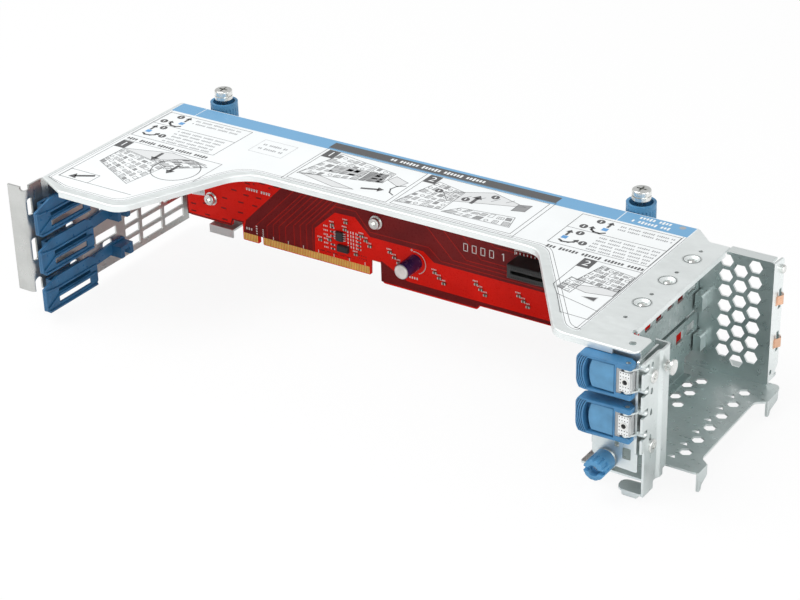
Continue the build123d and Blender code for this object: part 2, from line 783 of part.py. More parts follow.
# Front thumbscrew: fluted knob with a cross slot, on a shaft through a bush in the front wall.
knob_back = front_plate_y - 0.8 - seat_gap
knob_front = knob_back - front_knob_length
front_knob = rod_y(front_knob_radius, knob_front, knob_back, front_knob_x, front_knob_z)
front_knob = fillet(front_knob.edges().sort_by(Axis.Y)[0], 0.8)
for i in range(12):
    flute = Rot(0, 30 * i, 0) * Pos(front_knob_radius + 0.3, 0, 0) * Rot(90, 0, 0) * Cylinder(0.8, 30)
    front_knob -= Pos(front_knob_x, knob_front - 10.2, front_knob_z) * flute
front_knob -= block(front_knob_x - 7, front_knob_x + 7, knob_front - 1, knob_front + 2.2, front_knob_z - 1, front_knob_z + 1)
front_knob -= rod_y(2.5, knob_front - 1, knob_front + 3.2, front_knob_x, front_knob_z)
front_knob -= rod_y(front_waist, knob_front + 3.2, knob_back + 1, front_knob_x, front_knob_z)
nodes["front_knob"] = front_knob
thread_front = front_plate_y + sheet + 1.3
shaft = rod_y(front_shank, thread_front, front_plate_y + 10, front_knob_x, front_knob_z)
shaft += rod_y(front_waist, knob_front + 3.2, thread_front, front_knob_x, front_knob_z)
nodes["front_screw"] = chamfer(shaft.edges().sort_by(Axis.Y)[-1], 0.8)
bush = rod_y(4.2, front_plate_y - 0.8, front_plate_y, front_knob_x, front_knob_z)
bush += rod_y(3.0, front_plate_y, front_plate_y + sheet + 1, front_knob_x, front_knob_z)
bush -= rod_y(front_waist + running_gap, -130, -100, front_knob_x, front_knob_z)
nodes["front_bush"] = bush

# Captive thumbscrews behind the cover: the knob is a ribbed cup that lifts over the head.
for place, x in zip(("left", "right"), captive_x):
    bush = rod_z(5.0, ear_top, ear_top + 0.8, x, captive_y)
    bush += rod_z(3.6, ear_top - 2.5, ear_top, x, captive_y)
    bush -= rod_z(captive_waist + running_gap, -30, 0, x, captive_y)
    nodes["captive_bush_" + place] = bush
    knob_low = ear_top + 0.8 + seat_gap
    cup = rod_z(knob_radius, knob_low, knob_top, x, captive_y)
    cup -= rod_z(knob_radius - 1.4, -6.0, knob_top + 1, x, captive_y)
    cup -= rod_z(captive_waist + running_gap, -20, 0, x, captive_y)
    for i in range(24):
        cut_spot = Pos(x, captive_y, knob_low + 6) * Rot(0, 0, 15 * i) * Pos(knob_radius + 0.25, 0, 0)
        cup -= cut_spot * Cylinder(0.6, 13.0)
    nodes["captive_knob_" + place] = cup
    thread_top = ear_top - 3.0
    screw = rod_z(captive_shank, -34.0, thread_top, x, captive_y)
    screw = chamfer(screw.edges().sort_by(Axis.Z)[0], 0.8)
    screw += rod_z(captive_waist, thread_top, 3.6, x, captive_y)
    head = rod_z(4.5, 3.6, 8.4, x, captive_y)
    head = fillet(head.edges().sort_by(Axis.Z)[-1], 0.8)
    head -= rod_z(5.5, 5.2, 5.9, x, captive_y) - rod_z(3.9, 5, 6, x, captive_y)
    head -= Pos(x, captive_y, 8.0) * Box(5.0, 1.0, 2.4)
    head -= Pos(x, captive_y, 8.0) * Box(1.0, 5.0, 2.4)
    nodes["captive_screw_" + place] = screw + head


def card_guide(centre):
    """Snap-in card guide: paddle with a card groove, long slot and an arm with a hook block."""
    inner = sheet
    base = rounded_face(
        [
            (-120.0, centre + 4.5, 2),
            (-117.0, centre + 7.3, 2),
            (-90.0, centre + 7.3, 1),
            (-85.0, centre + 4.6, 1),
            (-66.0, centre + 6.4, 1),
            (-55.0, centre + 6.4, 1),
            (-55.0, centre - 1.6, 1),
            (-66.0, centre + 0.4, 1),
            (-82.0, centre - 0.6, 1),
            (-82.0, centre - 5.6, 1),
            (-85.0, centre - 7.3, 2),
            (-117.0, centre - 7.3, 2),
            (-120.0, centre - 4.8, 2),
        ]
    )
    base -= window(-98.0, centre - 4.2, 25.0, 2.6, 1.2)
    guide = endways(base, inner, 1.6)
    lip = 6.6
    groove = centre + card_plane - guide_centre
    for z in (groove - groove_half, groove + groove_half):
        guide += block(inner, inner + lip, -113.0, -84.0, z - 0.7, z + 0.7)
    guide += block(inner, inner + 4.4, -113.0, -84.0, centre - 6.9, centre - 5.9)
    rim_plate = rounded_face(
        [
            (-120.0, centre + 4.5, 2),
            (-117.0, centre + 7.3, 2),
            (-112.5, centre + 7.3, 0),
            (-112.5, centre - 7.3, 0),
            (-117.0, centre - 7.3, 2),
            (-120.0, centre - 4.8, 2),
        ]
    )
    pocket = rounded_face(
        [
            (-118.6, centre + 4.0, 1),
            (-116.4, centre + 6.0, 1),
            (-113.6, centre + 6.0, 0.5),
            (-113.6, centre - 6.0, 0.5),
            (-116.4, centre - 6.0, 1),
            (-118.6, centre - 4.2, 1),
        ]
    )
    guide += endways(rim_plate, inner, lip) - endways(pocket, inner + 1.6, lip)
    guide += endways(Pos(-116, centre + 1) * Rot(0, 0, 35) * Rectangle(4.5, 1.0), inner, 4)
    hook = block(inner, inner + 7.5, -65.0, -56.0, centre - 0.6, centre + 5.4)
    hook -= block(inner + 2, inner + 9, -62.6, -58.4, centre - 2, centre + 3.4)
    guide += hook
    return guide


for place, step in (("top", 1), ("middle", 0), ("bottom", -1)):
    nodes["card_guide_" + place] = card_guide(guide_centre + slot_pitch * step)

# Move everything so that the middle of the base is the origin, and write each piece.
everything = Compound(children=[Compound(node.wrapped) for node in nodes.values()])
box = everything.bounding_box()
shift = Pos(-(box.min.X + box.max.X) / 2, -(box.min.Y + box.max.Y) / 2, -box.min.Z)
for name, node in nodes.items():
    export_step(shift * node, "parts/" + name + ".step")
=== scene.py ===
import logging
import math
from collections.abc import Callable
from dataclasses import dataclass, field
from enum import Enum

import bpy
from mathutils import Matrix, Vector


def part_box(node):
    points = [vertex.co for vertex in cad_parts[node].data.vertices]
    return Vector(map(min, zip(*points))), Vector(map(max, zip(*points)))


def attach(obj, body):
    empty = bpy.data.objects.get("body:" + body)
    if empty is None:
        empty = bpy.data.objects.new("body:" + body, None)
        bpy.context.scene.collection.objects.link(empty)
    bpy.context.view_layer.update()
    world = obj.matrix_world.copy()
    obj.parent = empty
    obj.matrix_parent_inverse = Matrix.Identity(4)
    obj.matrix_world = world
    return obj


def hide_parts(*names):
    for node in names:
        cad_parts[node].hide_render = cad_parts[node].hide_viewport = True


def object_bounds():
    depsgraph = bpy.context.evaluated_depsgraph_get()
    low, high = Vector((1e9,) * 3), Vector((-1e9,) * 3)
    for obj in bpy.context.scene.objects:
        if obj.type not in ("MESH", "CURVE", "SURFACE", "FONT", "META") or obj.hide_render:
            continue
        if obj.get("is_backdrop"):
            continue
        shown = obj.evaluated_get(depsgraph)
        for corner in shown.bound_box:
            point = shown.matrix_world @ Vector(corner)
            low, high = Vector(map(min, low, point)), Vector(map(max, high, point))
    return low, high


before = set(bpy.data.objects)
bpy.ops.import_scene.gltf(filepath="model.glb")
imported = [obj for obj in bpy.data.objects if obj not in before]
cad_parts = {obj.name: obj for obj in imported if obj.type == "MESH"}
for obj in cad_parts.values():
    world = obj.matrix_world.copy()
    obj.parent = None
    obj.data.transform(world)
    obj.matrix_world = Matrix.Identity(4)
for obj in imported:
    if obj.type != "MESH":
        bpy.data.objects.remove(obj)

log = logging.getLogger("riser_cage")
MM = 0.001
INK = 0.015
FIRST_COAT = 0.016
SECOND_COAT = 0.031
Colour = tuple[float, float, float]
Point = tuple[float, float]
Triple = tuple[float, float, float]
Values = tuple[object, ...]


class Side(Enum):
    """The plane that a set of printed marks lies on."""

    COVER = "cover"
    BOARD = "board"


class Cage:
    """The cage's own coordinates: millimetres from the back left top corner of the cover."""

    def __init__(self) -> None:
        """Reads the corner from the cover."""
        low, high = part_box("top_cover")
        self.origin = Vector((low[0], high[1], high[2]))

    def at(self, x: float, y: float, z: float) -> Vector:
        """Place in the model's frame.

        Args:
            x: millimetres to the right of the cover's left edge.
            y: millimetres behind the cover's back edge.
            z: millimetres above the cover.

        Returns:
            The place in metres.
        """
        return self.origin + Vector((x, y, z)) * MM

    def left_middle(self, node: str) -> Point:
        """Left edge and middle height of a node, in the cage's millimetres."""
        low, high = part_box(node)
        return (low[0] - self.origin.x) / MM, ((low[2] + high[2]) / 2 - self.origin.z) / MM


CAGE = Cage()


def mode(name: str) -> None:
    """Switches the active mesh to OBJECT or EDIT mode."""
    bpy.ops.object.mode_set(mode=name)


def add(maker: Callable[..., object], name: str, **values: object) -> bpy.types.Object:
    """Adds an object, with nothing else selected.

    Args:
        maker: the operator that adds it.
        name: the object's name.
        **values: what the operator is given.

    Returns:
        The new object.
    """
    bpy.ops.object.select_all(action="DESELECT")
    maker(**values)
    piece = bpy.context.active_object
    piece.name = name
    return piece


def modify(piece: bpy.types.Object, kind: str, **values: object) -> None:
    """Adds a modifier to the active piece and applies it.

    Args:
        piece: the piece.
        kind: the modifier's Blender type.
        **values: its settings by name.
    """
    step = piece.modifiers.new(kind.lower(), kind)
    for name, value in values.items():
        setattr(step, name, value)
    bpy.ops.object.modifier_apply(modifier=step.name)


class Shader:
    """A material being wired: nodes are added by type, with their sockets given by name."""

    def __init__(self, name: str) -> None:
        """Starts an empty material.

        Args:
            name: the material's name.
        """
        self.material = bpy.data.materials.new(name)
        self.material.use_nodes = True
        self.tree = self.material.node_tree
        self.tree.nodes.clear()
        self.output = self.tree.nodes.new("ShaderNodeOutputMaterial")
        self.surface = self.tree.nodes.new("ShaderNodeBsdfPrincipled")
        self.tree.links.new(self.surface.outputs[0], self.output.inputs["Surface"])
        self.place = self.tree.nodes.new("ShaderNodeTexCoord").outputs["Object"]

    def link(self, source: bpy.types.NodeSocket, node: bpy.types.Node, socket: str | int) -> None:
        """Joins an output to a socket of a node."""
        self.tree.links.new(source, node.inputs[socket])

    def node(self, kind: str, **values: object) -> bpy.types.Node:
        """Adds a node.

        Args:
            kind: the node's Blender type.
            **values: properties of the node by name.

        Returns:
            The node.
        """
        made = self.tree.nodes.new(kind)
        for name, value in values.items():
            setattr(made, name, value)
        return made

    def stretched(self, scale: Triple) -> bpy.types.NodeSocket:
        """Object coordinates scaled along each axis."""
        mapping = self.node("ShaderNodeMapping")
        mapping.inputs["Scale"].default_value = scale
        self.link(self.place, mapping, "Vector")
        return mapping.outputs[0]

    def noise(self, scale: float, detail: float = 3.0, stretch: Triple = (1, 1, 1)) -> bpy.types.NodeSocket:
        """Noise over the object.

        Args:
            scale: how fine it is, per metre.
            detail: octaves.
            stretch: scale along each axis.

        Returns:
            The grey output.
        """
        made = self.node("ShaderNodeTexNoise")
        made.inputs["Scale"].default_value = scale
        made.inputs["Detail"].default_value = detail
        self.link(self.stretched(stretch), made, "Vector")
        return made.outputs[0]

    def cells(self, scale: float, feature: str = "F1") -> bpy.types.Node:
        """Voronoi cells over the object."""
        made = self.node("ShaderNodeTexVoronoi", feature=feature)
        made.inputs["Scale"].default_value = scale
        self.link(self.place, made, "Vector")
        return made

    def ramp(
        self, factor: bpy.types.NodeSocket, stops: list[tuple[float, Colour]]
    ) -> bpy.types.NodeSocket:
        """Colour ramp.

        Args:
            factor: the grey that drives it.
            stops: positions and colours.

        Returns:
            The colour output.
        """
        made = self.node("ShaderNodeValToRGB")
        elements = made.color_ramp.elements
        while len(elements) < len(stops):
            elements.new(0.5)
        for element, (position, colour) in zip(elements, stops):
            element.position = position
            element.color = (*colour, 1)
        self.link(factor, made, "Fac")
        return made.outputs[0]

    def spread(self, value: bpy.types.NodeSocket, low: float, high: float) -> bpy.types.NodeSocket:
        """Maps a grey from 0.3..0.7 to a range."""
        made = self.node("ShaderNodeMapRange")
        for socket, number in zip((1, 2, 3, 4), (0.3, 0.7, low, high)):
            made.inputs[socket].default_value = number
        self.link(value, made, 0)
        return made.outputs[0]

    def coat(
        self, colour: bpy.types.NodeSocket, rough: bpy.types.NodeSocket, low: float, high: float
    ) -> None:
        """Gives the surface its colour and its range of roughness.

        Args:
            colour: the colour output.
            rough: the grey that drives the roughness.
            low: roughness where the grey is dark.
            high: roughness where it is light.
        """
        self.link(colour, self.surface, "Base Color")
        self.link(self.spread(rough, low, high), self.surface, "Roughness")

    def blend(
        self, fine: bpy.types.NodeSocket, share: float, cloud: bpy.types.NodeSocket
    ) -> bpy.types.NodeSocket:
        """Adds a share of a fine grey to a cloudy one.

        Args:
            fine: the fine grey.
            share: how much of it is added.
            cloud: the cloudy grey.

        Returns:
            The sum.
        """
        made = self.node("ShaderNodeMath", operation="MULTIPLY_ADD")
        self.link(fine, made, 0)
        made.inputs[1].default_value = share
        self.link(cloud, made, 2)
        return made.outputs[0]

    def bump(self, height: bpy.types.NodeSocket, strength: float, depth: float) -> None:
        """Adds a bump to the surface.

        Args:
            height: the grey that raises it.
            strength: from 0 to 1.
            depth: its height in metres.
        """
        made = self.node("ShaderNodeBump")
        made.inputs["Strength"].default_value = strength
        made.inputs["Distance"].default_value = depth
        self.link(height, made, "Height")
        self.link(made.outputs[0], self.surface, "Normal")

    def set(self, **values: object) -> None:
        """Writes constants on the surface shader, with underscores for spaces in the names."""
        for name, value in values.items():
            self.surface.inputs[name.replace("_", " ")].default_value = value


@dataclass(frozen=True)
class Steel:
    """Galvanised sheet: a fine grain, soft cloudy patches and a faint rolling direction."""

    name: str
    light: Colour
    dark: Colour
    roughness: float = 0.34
    metallic: float = 0.9
    grain: float = 900.0
    # colour painted on faces that do not face along Y: painted light on the folded flanges
    lit_fold: Colour | None = None
    mix_first: int = 6
    mix_second: int = 7
    mix_result: int = 2

    def paint_light_on_folds(self, shader: "Shader", colour: bpy.types.NodeSocket) -> bpy.types.NodeSocket:
        """Paints light on the folded edges, which face away from the card bay: faces that do not face along Y
        take the lighter fold colour.

        Args:
            shader: the material's shader.
            colour: colour of the sheet's face.

        Returns:
            The colour with painted light on its folds.
        """
        facing = shader.node("ShaderNodeSeparateXYZ")
        shader.link(shader.node("ShaderNodeTexCoord").outputs["Normal"], facing, 0)
        along = shader.node("ShaderNodeMath", operation="ABSOLUTE")
        shader.link(facing.outputs["Y"], along, 0)
        mix = shader.node("ShaderNodeMix", data_type="RGBA")
        shader.link(along.outputs[0], mix, "Factor")
        mix.inputs[self.mix_first].default_value = (*self.lit_fold, 1)
        shader.link(colour, mix, self.mix_second)
        return mix.outputs[self.mix_result]

    def make(self) -> bpy.types.Material:
        """Builds the material."""
        shader = Shader(self.name)
        cloud = shader.noise(38.0, 4.0, (1, 1.6, 1))
        fleck = shader.cells(self.grain)
        grey = shader.blend(fleck.outputs["Distance"], 0.1, cloud)
        middle = tuple((a + b) / 2 for a, b in zip(self.light, self.dark))
        colour = shader.ramp(grey, [(0.36, self.dark), (0.52, middle), (0.7, self.light)])
        if self.lit_fold:
            colour = self.paint_light_on_folds(shader, colour)
        rough = shader.noise(220.0, 3.0, (1, 2.5, 1))
        shader.coat(colour, rough, self.roughness - 0.07, self.roughness + 0.1)
        shader.set(Metallic=self.metallic)
        shader.bump(shader.noise(2600.0, 1.0, (1, 1.6, 1)), 0.03, 0.00001)
        return shader.material


@dataclass(frozen=True)
class Moulding:
    """Moulded plastic: slight colour drift, a fine spark-eroded texture and worn shine."""

    name: str
    colour: Colour
    roughness: float = 0.4
    drift: float = 0.14
    texture: float = 0.12

    def make(self) -> bpy.types.Material:
        """Builds the material."""
        shader = Shader(self.name)
        dark = tuple(c * (1 - self.drift) for c in self.colour)
        light = tuple(min(1.0, c * (1 + self.drift)) for c in self.colour)
        colour = shader.ramp(shader.noise(120.0), [(0.35, dark), (0.65, light)])
        shader.coat(colour, shader.noise(420.0, 3.0), self.roughness - 0.06, self.roughness + 0.08)
        shader.set(Specular_IOR_Level=0.45)
        shader.bump(shader.noise(3200.0, 2.0), self.texture, 0.00003)
        return shader.material


@dataclass(frozen=True)
class SolderMask:
    """Lacquered circuit board: copper areas show through as a fine weave under a gloss coat."""

    name: str
    colour: Colour
    shade: Colour

    def make(self) -> bpy.types.Material:
        """Builds the material."""
        shader = Shader(self.name)
        weave = shader.noise(1500.0, 2.0, (1, 1, 1))
        cloud = shader.noise(45.0, 2.0)
        colour = shader.ramp(shader.blend(weave, 0.35, cloud), [(0.5, self.shade), (0.85, self.colour)])
        shader.coat(colour, weave, 0.26, 0.36)
        shader.set(Coat_Weight=0.04, Coat_Roughness=0.25, Specular_IOR_Level=0.09)
        shader.bump(weave, 0.15, 0.00002)
        return shader.material


@dataclass(frozen=True)
class Plating:
    """Bright plated metal: gold, nickel, copper or tin, with fine scuffs."""

    name: str
    colour: Colour
    roughness: float = 0.22
    scuff: float = 0.3
    metallic: float = 1.0

    def make(self) -> bpy.types.Material:
        """Builds the material."""
        shader = Shader(self.name)
        dark = tuple(c * 0.82 for c in self.colour)
        colour = shader.ramp(shader.noise(260.0, 4.0), [(0.35, dark), (0.62, self.colour)])
        rough = shader.noise(900.0, 3.0, (1, 1, 4))
        shader.coat(colour, rough, self.roughness - 0.05, self.roughness + 0.12)
        shader.set(Metallic=self.metallic)
        shader.bump(rough, self.scuff, 0.00003)
        return shader.material


@dataclass(frozen=True)
class Paper:
    """Printed film: matt white or a printed colour, with a soft tooth and slight unevenness."""

    name: str
    colour: Colour
    roughness: float = 0.42
    unevenness: float = 0.03

    def make(self) -> bpy.types.Material:
        """Builds the material."""
        shader = Shader(self.name)
        dark = tuple(c * (1 - self.unevenness) for c in self.colour)
        colour = shader.ramp(shader.noise(60.0, 5.0), [(0.35, dark), (0.65, self.colour)])
        fine = shader.noise(1400.0, 2.0)
        shader.coat(colour, fine, self.roughness - 0.05, self.roughness + 0.05)
        shader.bump(fine, 0.15, 0.00002)
        return shader.material


@dataclass(frozen=True)
class ClearPlastic:
    """Clear moulded plastic with a milky edge and moulding ripples."""

    name: str
    tint: Colour = (0.93, 0.95, 0.955)

    def make(self) -> bpy.types.Material:
        """Builds the material."""
        shader = Shader(self.name)
        shader.set(
            Base_Color=(*self.tint, 1), Transmission_Weight=0.6, IOR=1.49, Specular_IOR_Level=0.5
        )
        ripple = shader.noise(500.0, 3.0)
        shader.link(shader.spread(ripple, 0.05, 0.16), shader.surface, "Roughness")
        shader.bump(ripple, 0.3, 0.00008)
        return shader.material


STEEL = Steel("galvanised_sheet", (0.78, 0.83, 0.825), (0.68, 0.735, 0.73))
# lighter, less metallic copy of the sheet for the top cover; its lighter colour is painted light on the
# cover's top
STEEL_COVER_LIT = Steel("galvanised_cover_lit", (0.86, 0.90, 0.895), (0.80, 0.84, 0.835), 0.42, 0.66)
# darker copy of the sheet for the slot covers and the floor lip: painted shade of the cage's interior
STEEL_INNER_SHADED = Steel("galvanised_inner_shaded", (0.50, 0.57, 0.565), (0.40, 0.47, 0.465), 0.3)
# dark copy of the sheet, used only as painted shade: rings round the dimples and the lip in the gap between
# the slot covers
STEEL_PAINTED_SHADE = Steel("galvanised_painted_shade", (0.20, 0.24, 0.235), (0.13, 0.16, 0.155), 0.4)
# side wall: darker copy of the sheet as painted shade on its inner face, with painted light on its folded
# flange
STEEL_SIDE_LIT_AND_SHADED = Steel("galvanised_side_lit_and_shaded", (0.47, 0.54, 0.535), (0.37, 0.44, 0.435), 0.3, lit_fold=(0.86, 0.91, 0.905))
STEEL_FLOOR = Steel("galvanised_floor", (0.76, 0.82, 0.815), (0.64, 0.70, 0.695), 0.32)
STEEL_WALL = Steel("galvanised_wall", (0.60, 0.61, 0.595), (0.49, 0.50, 0.485), 0.32)
LABEL_WHITE = Paper("label_white", (0.84, 0.865, 0.87))
LABEL_STRIPE = Paper("label_stripe_blue", (0.155, 0.37, 0.60))
LABEL_BLUE = Paper("label_blue", (0.11, 0.32, 0.62))
LABEL_GREY = Paper("label_dark_grey", (0.085, 0.085, 0.088))
LABEL_LINE = Paper("label_line_grey", (0.13, 0.135, 0.14))
LABEL_MID = Paper("label_mid_grey", (0.28, 0.285, 0.29))
LABEL_SHADE = Paper("label_shade_grey", (0.50, 0.51, 0.515))
LABEL_PALE = Paper("label_pale_grey", (0.70, 0.715, 0.72))
LABEL_TEXT = Paper("label_text_grey", (0.36, 0.37, 0.38))
BOARD_RED = SolderMask("board_red", (0.88, 0.014, 0.006), (0.74, 0.010, 0.005))
BOARD_MAROON = SolderMask("board_maroon", (0.215, 0.016, 0.016), (0.16, 0.012, 0.013))
BOARD_TRACE = SolderMask("board_trace", (0.50, 0.020, 0.014), (0.40, 0.016, 0.012))
BOARD_SILK = Paper("board_silk", (0.78, 0.74, 0.72))
GOLD = Plating("contact_gold", (1.0, 0.76, 0.19), 0.36, 0.3, 0.3)
NICKEL = Plating("nickel", (0.84, 0.85, 0.83), 0.2)
COPPER = Plating("spring_copper", (0.88, 0.55, 0.38), 0.28)
TIN = Plating("bright_tin", (0.82, 0.83, 0.82), 0.3, 0.3, 0.7)
BLUE = Moulding("latch_blue", (0.052, 0.20, 0.39), 0.36)
BLUE_PAD = Moulding("pad_blue", (0.095, 0.275, 0.47), 0.4)
BLUE_NAVY = Moulding("guide_blue", (0.026, 0.125, 0.26), 0.32)
BLUE_KNOB = Moulding("knob_blue", (0.075, 0.25, 0.45), 0.36)
BLACK = Moulding("connector_black", (0.026, 0.028, 0.028), 0.45)
CHIP = Moulding("chip_black", (0.03, 0.03, 0.032), 0.5)
SLEEVE = Moulding("sleeve_violet", (0.035, 0.018, 0.095), 0.22, 0.2, 0.1)
CAN_END = Plating("can_end", (0.86, 0.85, 0.82), 0.38)
CERAMIC = Moulding("chip_ceramic", (0.16, 0.12, 0.08), 0.4)
CERAMIC_DARK = Moulding("part_black", (0.02, 0.018, 0.018), 0.4)
CLEAR = ClearPlastic("latch_clear")
WHITE = Moulding("plate_white", (0.80, 0.82, 0.82), 0.4, 0.05)
SHADOW = Moulding("hole_dark", (0.008, 0.009, 0.010), 0.6)


DRESSING = (
    # top cover: lighter steel as painted light on its top
    (("top_cover",), STEEL_COVER_LIT),
    (("left_wall",), STEEL_WALL),
    # side wall: painted shade inside, painted light on the fold
    (("side_wall",), STEEL_SIDE_LIT_AND_SHADED),
    # slot covers: darker steel as painted shade of the interior
    (("slot_cover",), STEEL_INNER_SHADED),
    (("bottom_plate",), STEEL_FLOOR),
    (("back_rail", "column_plate", "latch_rail", "front_plate", "slot_rail"), STEEL),
    (("instruction_label",), LABEL_WHITE),
    (("riser_board",), BOARD_RED),
    (("edge_contacts",), GOLD),
    (("slot_connector",), BLACK),
    (("capacitor_can",), CAN_END),
    (("capacitor_sleeve",), SLEEVE),
    (("control_chip", "power_diode"), CHIP),
    (("chip_leads",), TIN),
    (("chip_parts",), CERAMIC),
    (("latch_lever",), BLUE),
    (("latch_button",), BLUE_PAD),
    (("card_guide",), BLUE_NAVY),
    (("captive_knob", "front_knob"), BLUE_KNOB),
    (("latch_window",), CLEAR),
    (("latch_plate",), WHITE),
    (("emi_springs",), COPPER),
    (("board_screws", "board_washers", "board_spacers", "cover_studs", "column_screws"), NICKEL),
    (("captive_", "front_screw", "front_bush", "hinge_pin", "latch_ring"), NICKEL),
    (("locating_stud", "flange_screw"), NICKEL),
)


class Wardrobe:
    """Makes each finish once and puts it on pieces."""

    def __init__(self) -> None:
        """Starts with no materials made."""
        self.made: dict[str, bpy.types.Material] = {}

    def dress(self, piece: bpy.types.Object, finish: object) -> None:
        """Puts one finish on the whole piece.

        Args:
            piece: the mesh object.
            finish: a finish with a name and a make method.
        """
        if finish.name not in self.made:
            self.made[finish.name] = finish.make()
        if not piece.data.materials:
            piece.data.materials.append(self.made[finish.name])
        for place in piece.material_slots:
            place.material = self.made[finish.name]

    def mount(self, piece: bpy.types.Object, finish: object, body: str = "cage") -> None:
        """Dresses a new piece and sets it on a body.

        Args:
            piece: the piece.
            finish: its finish.
            body: the body that it rides on.
        """
        self.dress(piece, finish)
        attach(piece, body)
        log.info("%s: %d faces", piece.name, len(piece.data.polygons))

    def dress_nodes(self) -> None:
        """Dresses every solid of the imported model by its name."""
        for name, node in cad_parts.items():
            finish = next(finish for starts, finish in DRESSING if name.startswith(starts))
            self.dress(node, finish)
            log.info("%s: %s", name, finish.name)


WARDROBE = Wardrobe()


class Marks:
    """Printed marks in one ink: noted in any order, then drawn side by side in one thin mesh."""

    def __init__(self, name: str, side: Side, finish: object, level: float) -> None:
        """Starts an empty sheet of marks.

        Args:
            name: the piece's name.
            side: the surface that it lies on.
            finish: the ink.
            level: height of the ink's foot above the cage's datum surface, in millimetres.
        """
        self.name = name
        self.side = side
        self.finish = finish
        self.level = level
        self.noted: list[tuple[Callable[..., None], Values]] = []

    def bar(self, u: float, v: float, width: float, height: float, angle: float = 0.0) -> None:
        """Notes a filled rectangle.

        Args:
            u: centre along the cage.
            v: centre across it.
            width: size along its own axis.
            height: size across it.
            angle: turn in degrees.
        """
        self.noted.append((self.draw_bar, (u, v, width, height, angle)))

    def run(self, start: Point, step: Point, count: int, width: float, height: float) -> None:
        """Notes a row of equal bars.

        Args:
            start: centre of the first bar.
            step: from one bar to the next.
            count: how many bars.
            width: each bar's width.
            height: each bar's height.
        """
        for i in range(count):
            self.bar(start[0] + step[0] * i, start[1] + step[1] * i, width, height)

    def disc(self, u: float, v: float, radius: float, vertices: int = 24) -> None:
        """Notes a filled circle."""
        self.noted.append((self.draw_disc, (u, v, radius, vertices)))

    def field(self, points: list[Point]) -> None:
        """Notes a filled shape through corner points, anticlockwise."""
        self.noted.append((self.draw_field, (points,)))

    def stroke(self, points: list[Point], width: float, closed: bool = False) -> None:
        """Notes a line of constant width through points.

        Args:
            points: the corners.
            width: the line's width.
            closed: whether it returns to its start.
        """
        ends = points[1:] + points[:1] if closed else points[1:]
        for (u0, v0), (u1, v1) in zip(points, ends):
            length = math.hypot(u1 - u0, v1 - v0) + width * 0.9
            angle = math.degrees(math.atan2(v1 - v0, u1 - u0))
            self.bar((u0 + u1) / 2, (v0 + v1) / 2, length, width, angle)

    def frame(self, points: list[Point], width: float) -> None:
        """Notes the outline of a closed shape."""
        self.stroke(points, width, True)

    def arc(self, u: float, v: float, radius: float, first: float, step: float, count: int) -> list[Point]:
        """Points along a circle.

        Args:
            u: its centre along the cage.
            v: its centre across it.
            radius: its radius.
            first: angle of the first point in degrees.
            step: angle between points.
            count: how many points.

        Returns:
            The points.
        """
        angles = [math.radians(first + step * i) for i in range(count)]
        return [(u + radius * math.cos(a), v + radius * math.sin(a)) for a in angles]

    def ring(self, u: float, v: float, radius: float, width: float, vertices: int = 40) -> None:
        """Notes a circle drawn as a line."""
        self.frame(self.arc(u, v, radius, 0, 360 / vertices, vertices), width)

    def draw_bar(self, u: float, v: float, width: float, height: float, angle: float) -> None:
        """Draws a filled rectangle in the open mesh."""
        place = Vector((u, v, 0)) * MM
        bpy.ops.mesh.primitive_plane_add(size=MM, location=place)
        bpy.ops.transform.resize(value=(width, height, 1), center_override=place)
        if angle:
            bpy.ops.transform.rotate(
                value=math.radians(-angle), orient_axis="Z", center_override=place
            )

    def draw_disc(self, u: float, v: float, radius: float, vertices: int) -> None:
        """Draws a filled circle in the open mesh."""
        bpy.ops.mesh.primitive_circle_add(
            vertices=vertices, radius=radius * MM, fill_type="NGON", location=Vector((u, v, 0)) * MM
        )

    def draw_field(self, points: list[Point]) -> None:
        """Draws a filled shape in the open mesh."""
        bpy.ops.mesh.select_all(action="DESELECT")
        bpy.ops.mesh.primitive_circle_add(vertices=len(points), radius=MM, fill_type="NGON")
        mode("OBJECT")
        chosen = [v for v in bpy.context.active_object.data.vertices if v.select]
        for vertex, point in zip(chosen, points):
            vertex.co = Vector((*point, 0)) * MM
        mode("EDIT")
        if len(points) > 4:
            bpy.ops.mesh.quads_convert_to_tris(ngon_method="BEAUTY")

    def print_on(self, body: str = "cage") -> None:
        """Draws the noted marks, gives the ink its thickness and lays it on its surface.

        Args:
            body: the body that it rides on.
        """
        piece = add(bpy.ops.mesh.primitive_plane_add, self.name, size=1, location=(0, 0, 0))
        mode("EDIT")
        bpy.ops.mesh.delete(type="VERT")
        for draw, values in self.noted:
            draw(*values)
        mode("OBJECT")
        for vertex in piece.data.vertices:
            u, v, _ = vertex.co / MM
            level = self.level
            vertex.co = CAGE.at(u, v, level) if self.side is Side.COVER else CAGE.at(u, -level, v)
        mode("EDIT")
        bpy.ops.mesh.select_all(action="SELECT")
        bpy.ops.mesh.normals_make_consistent(inside=False)
        mode("OBJECT")
        outward = Vector((0, 0, 1)) if self.side is Side.COVER else Vector((0, -1, 0))
        for face in [face for face in piece.data.polygons if face.normal.dot(outward) < 0]:
            face.flip()
        modify(piece, "SOLIDIFY", thickness=INK * MM, offset=1)
        WARDROBE.mount(piece, self.finish, body)


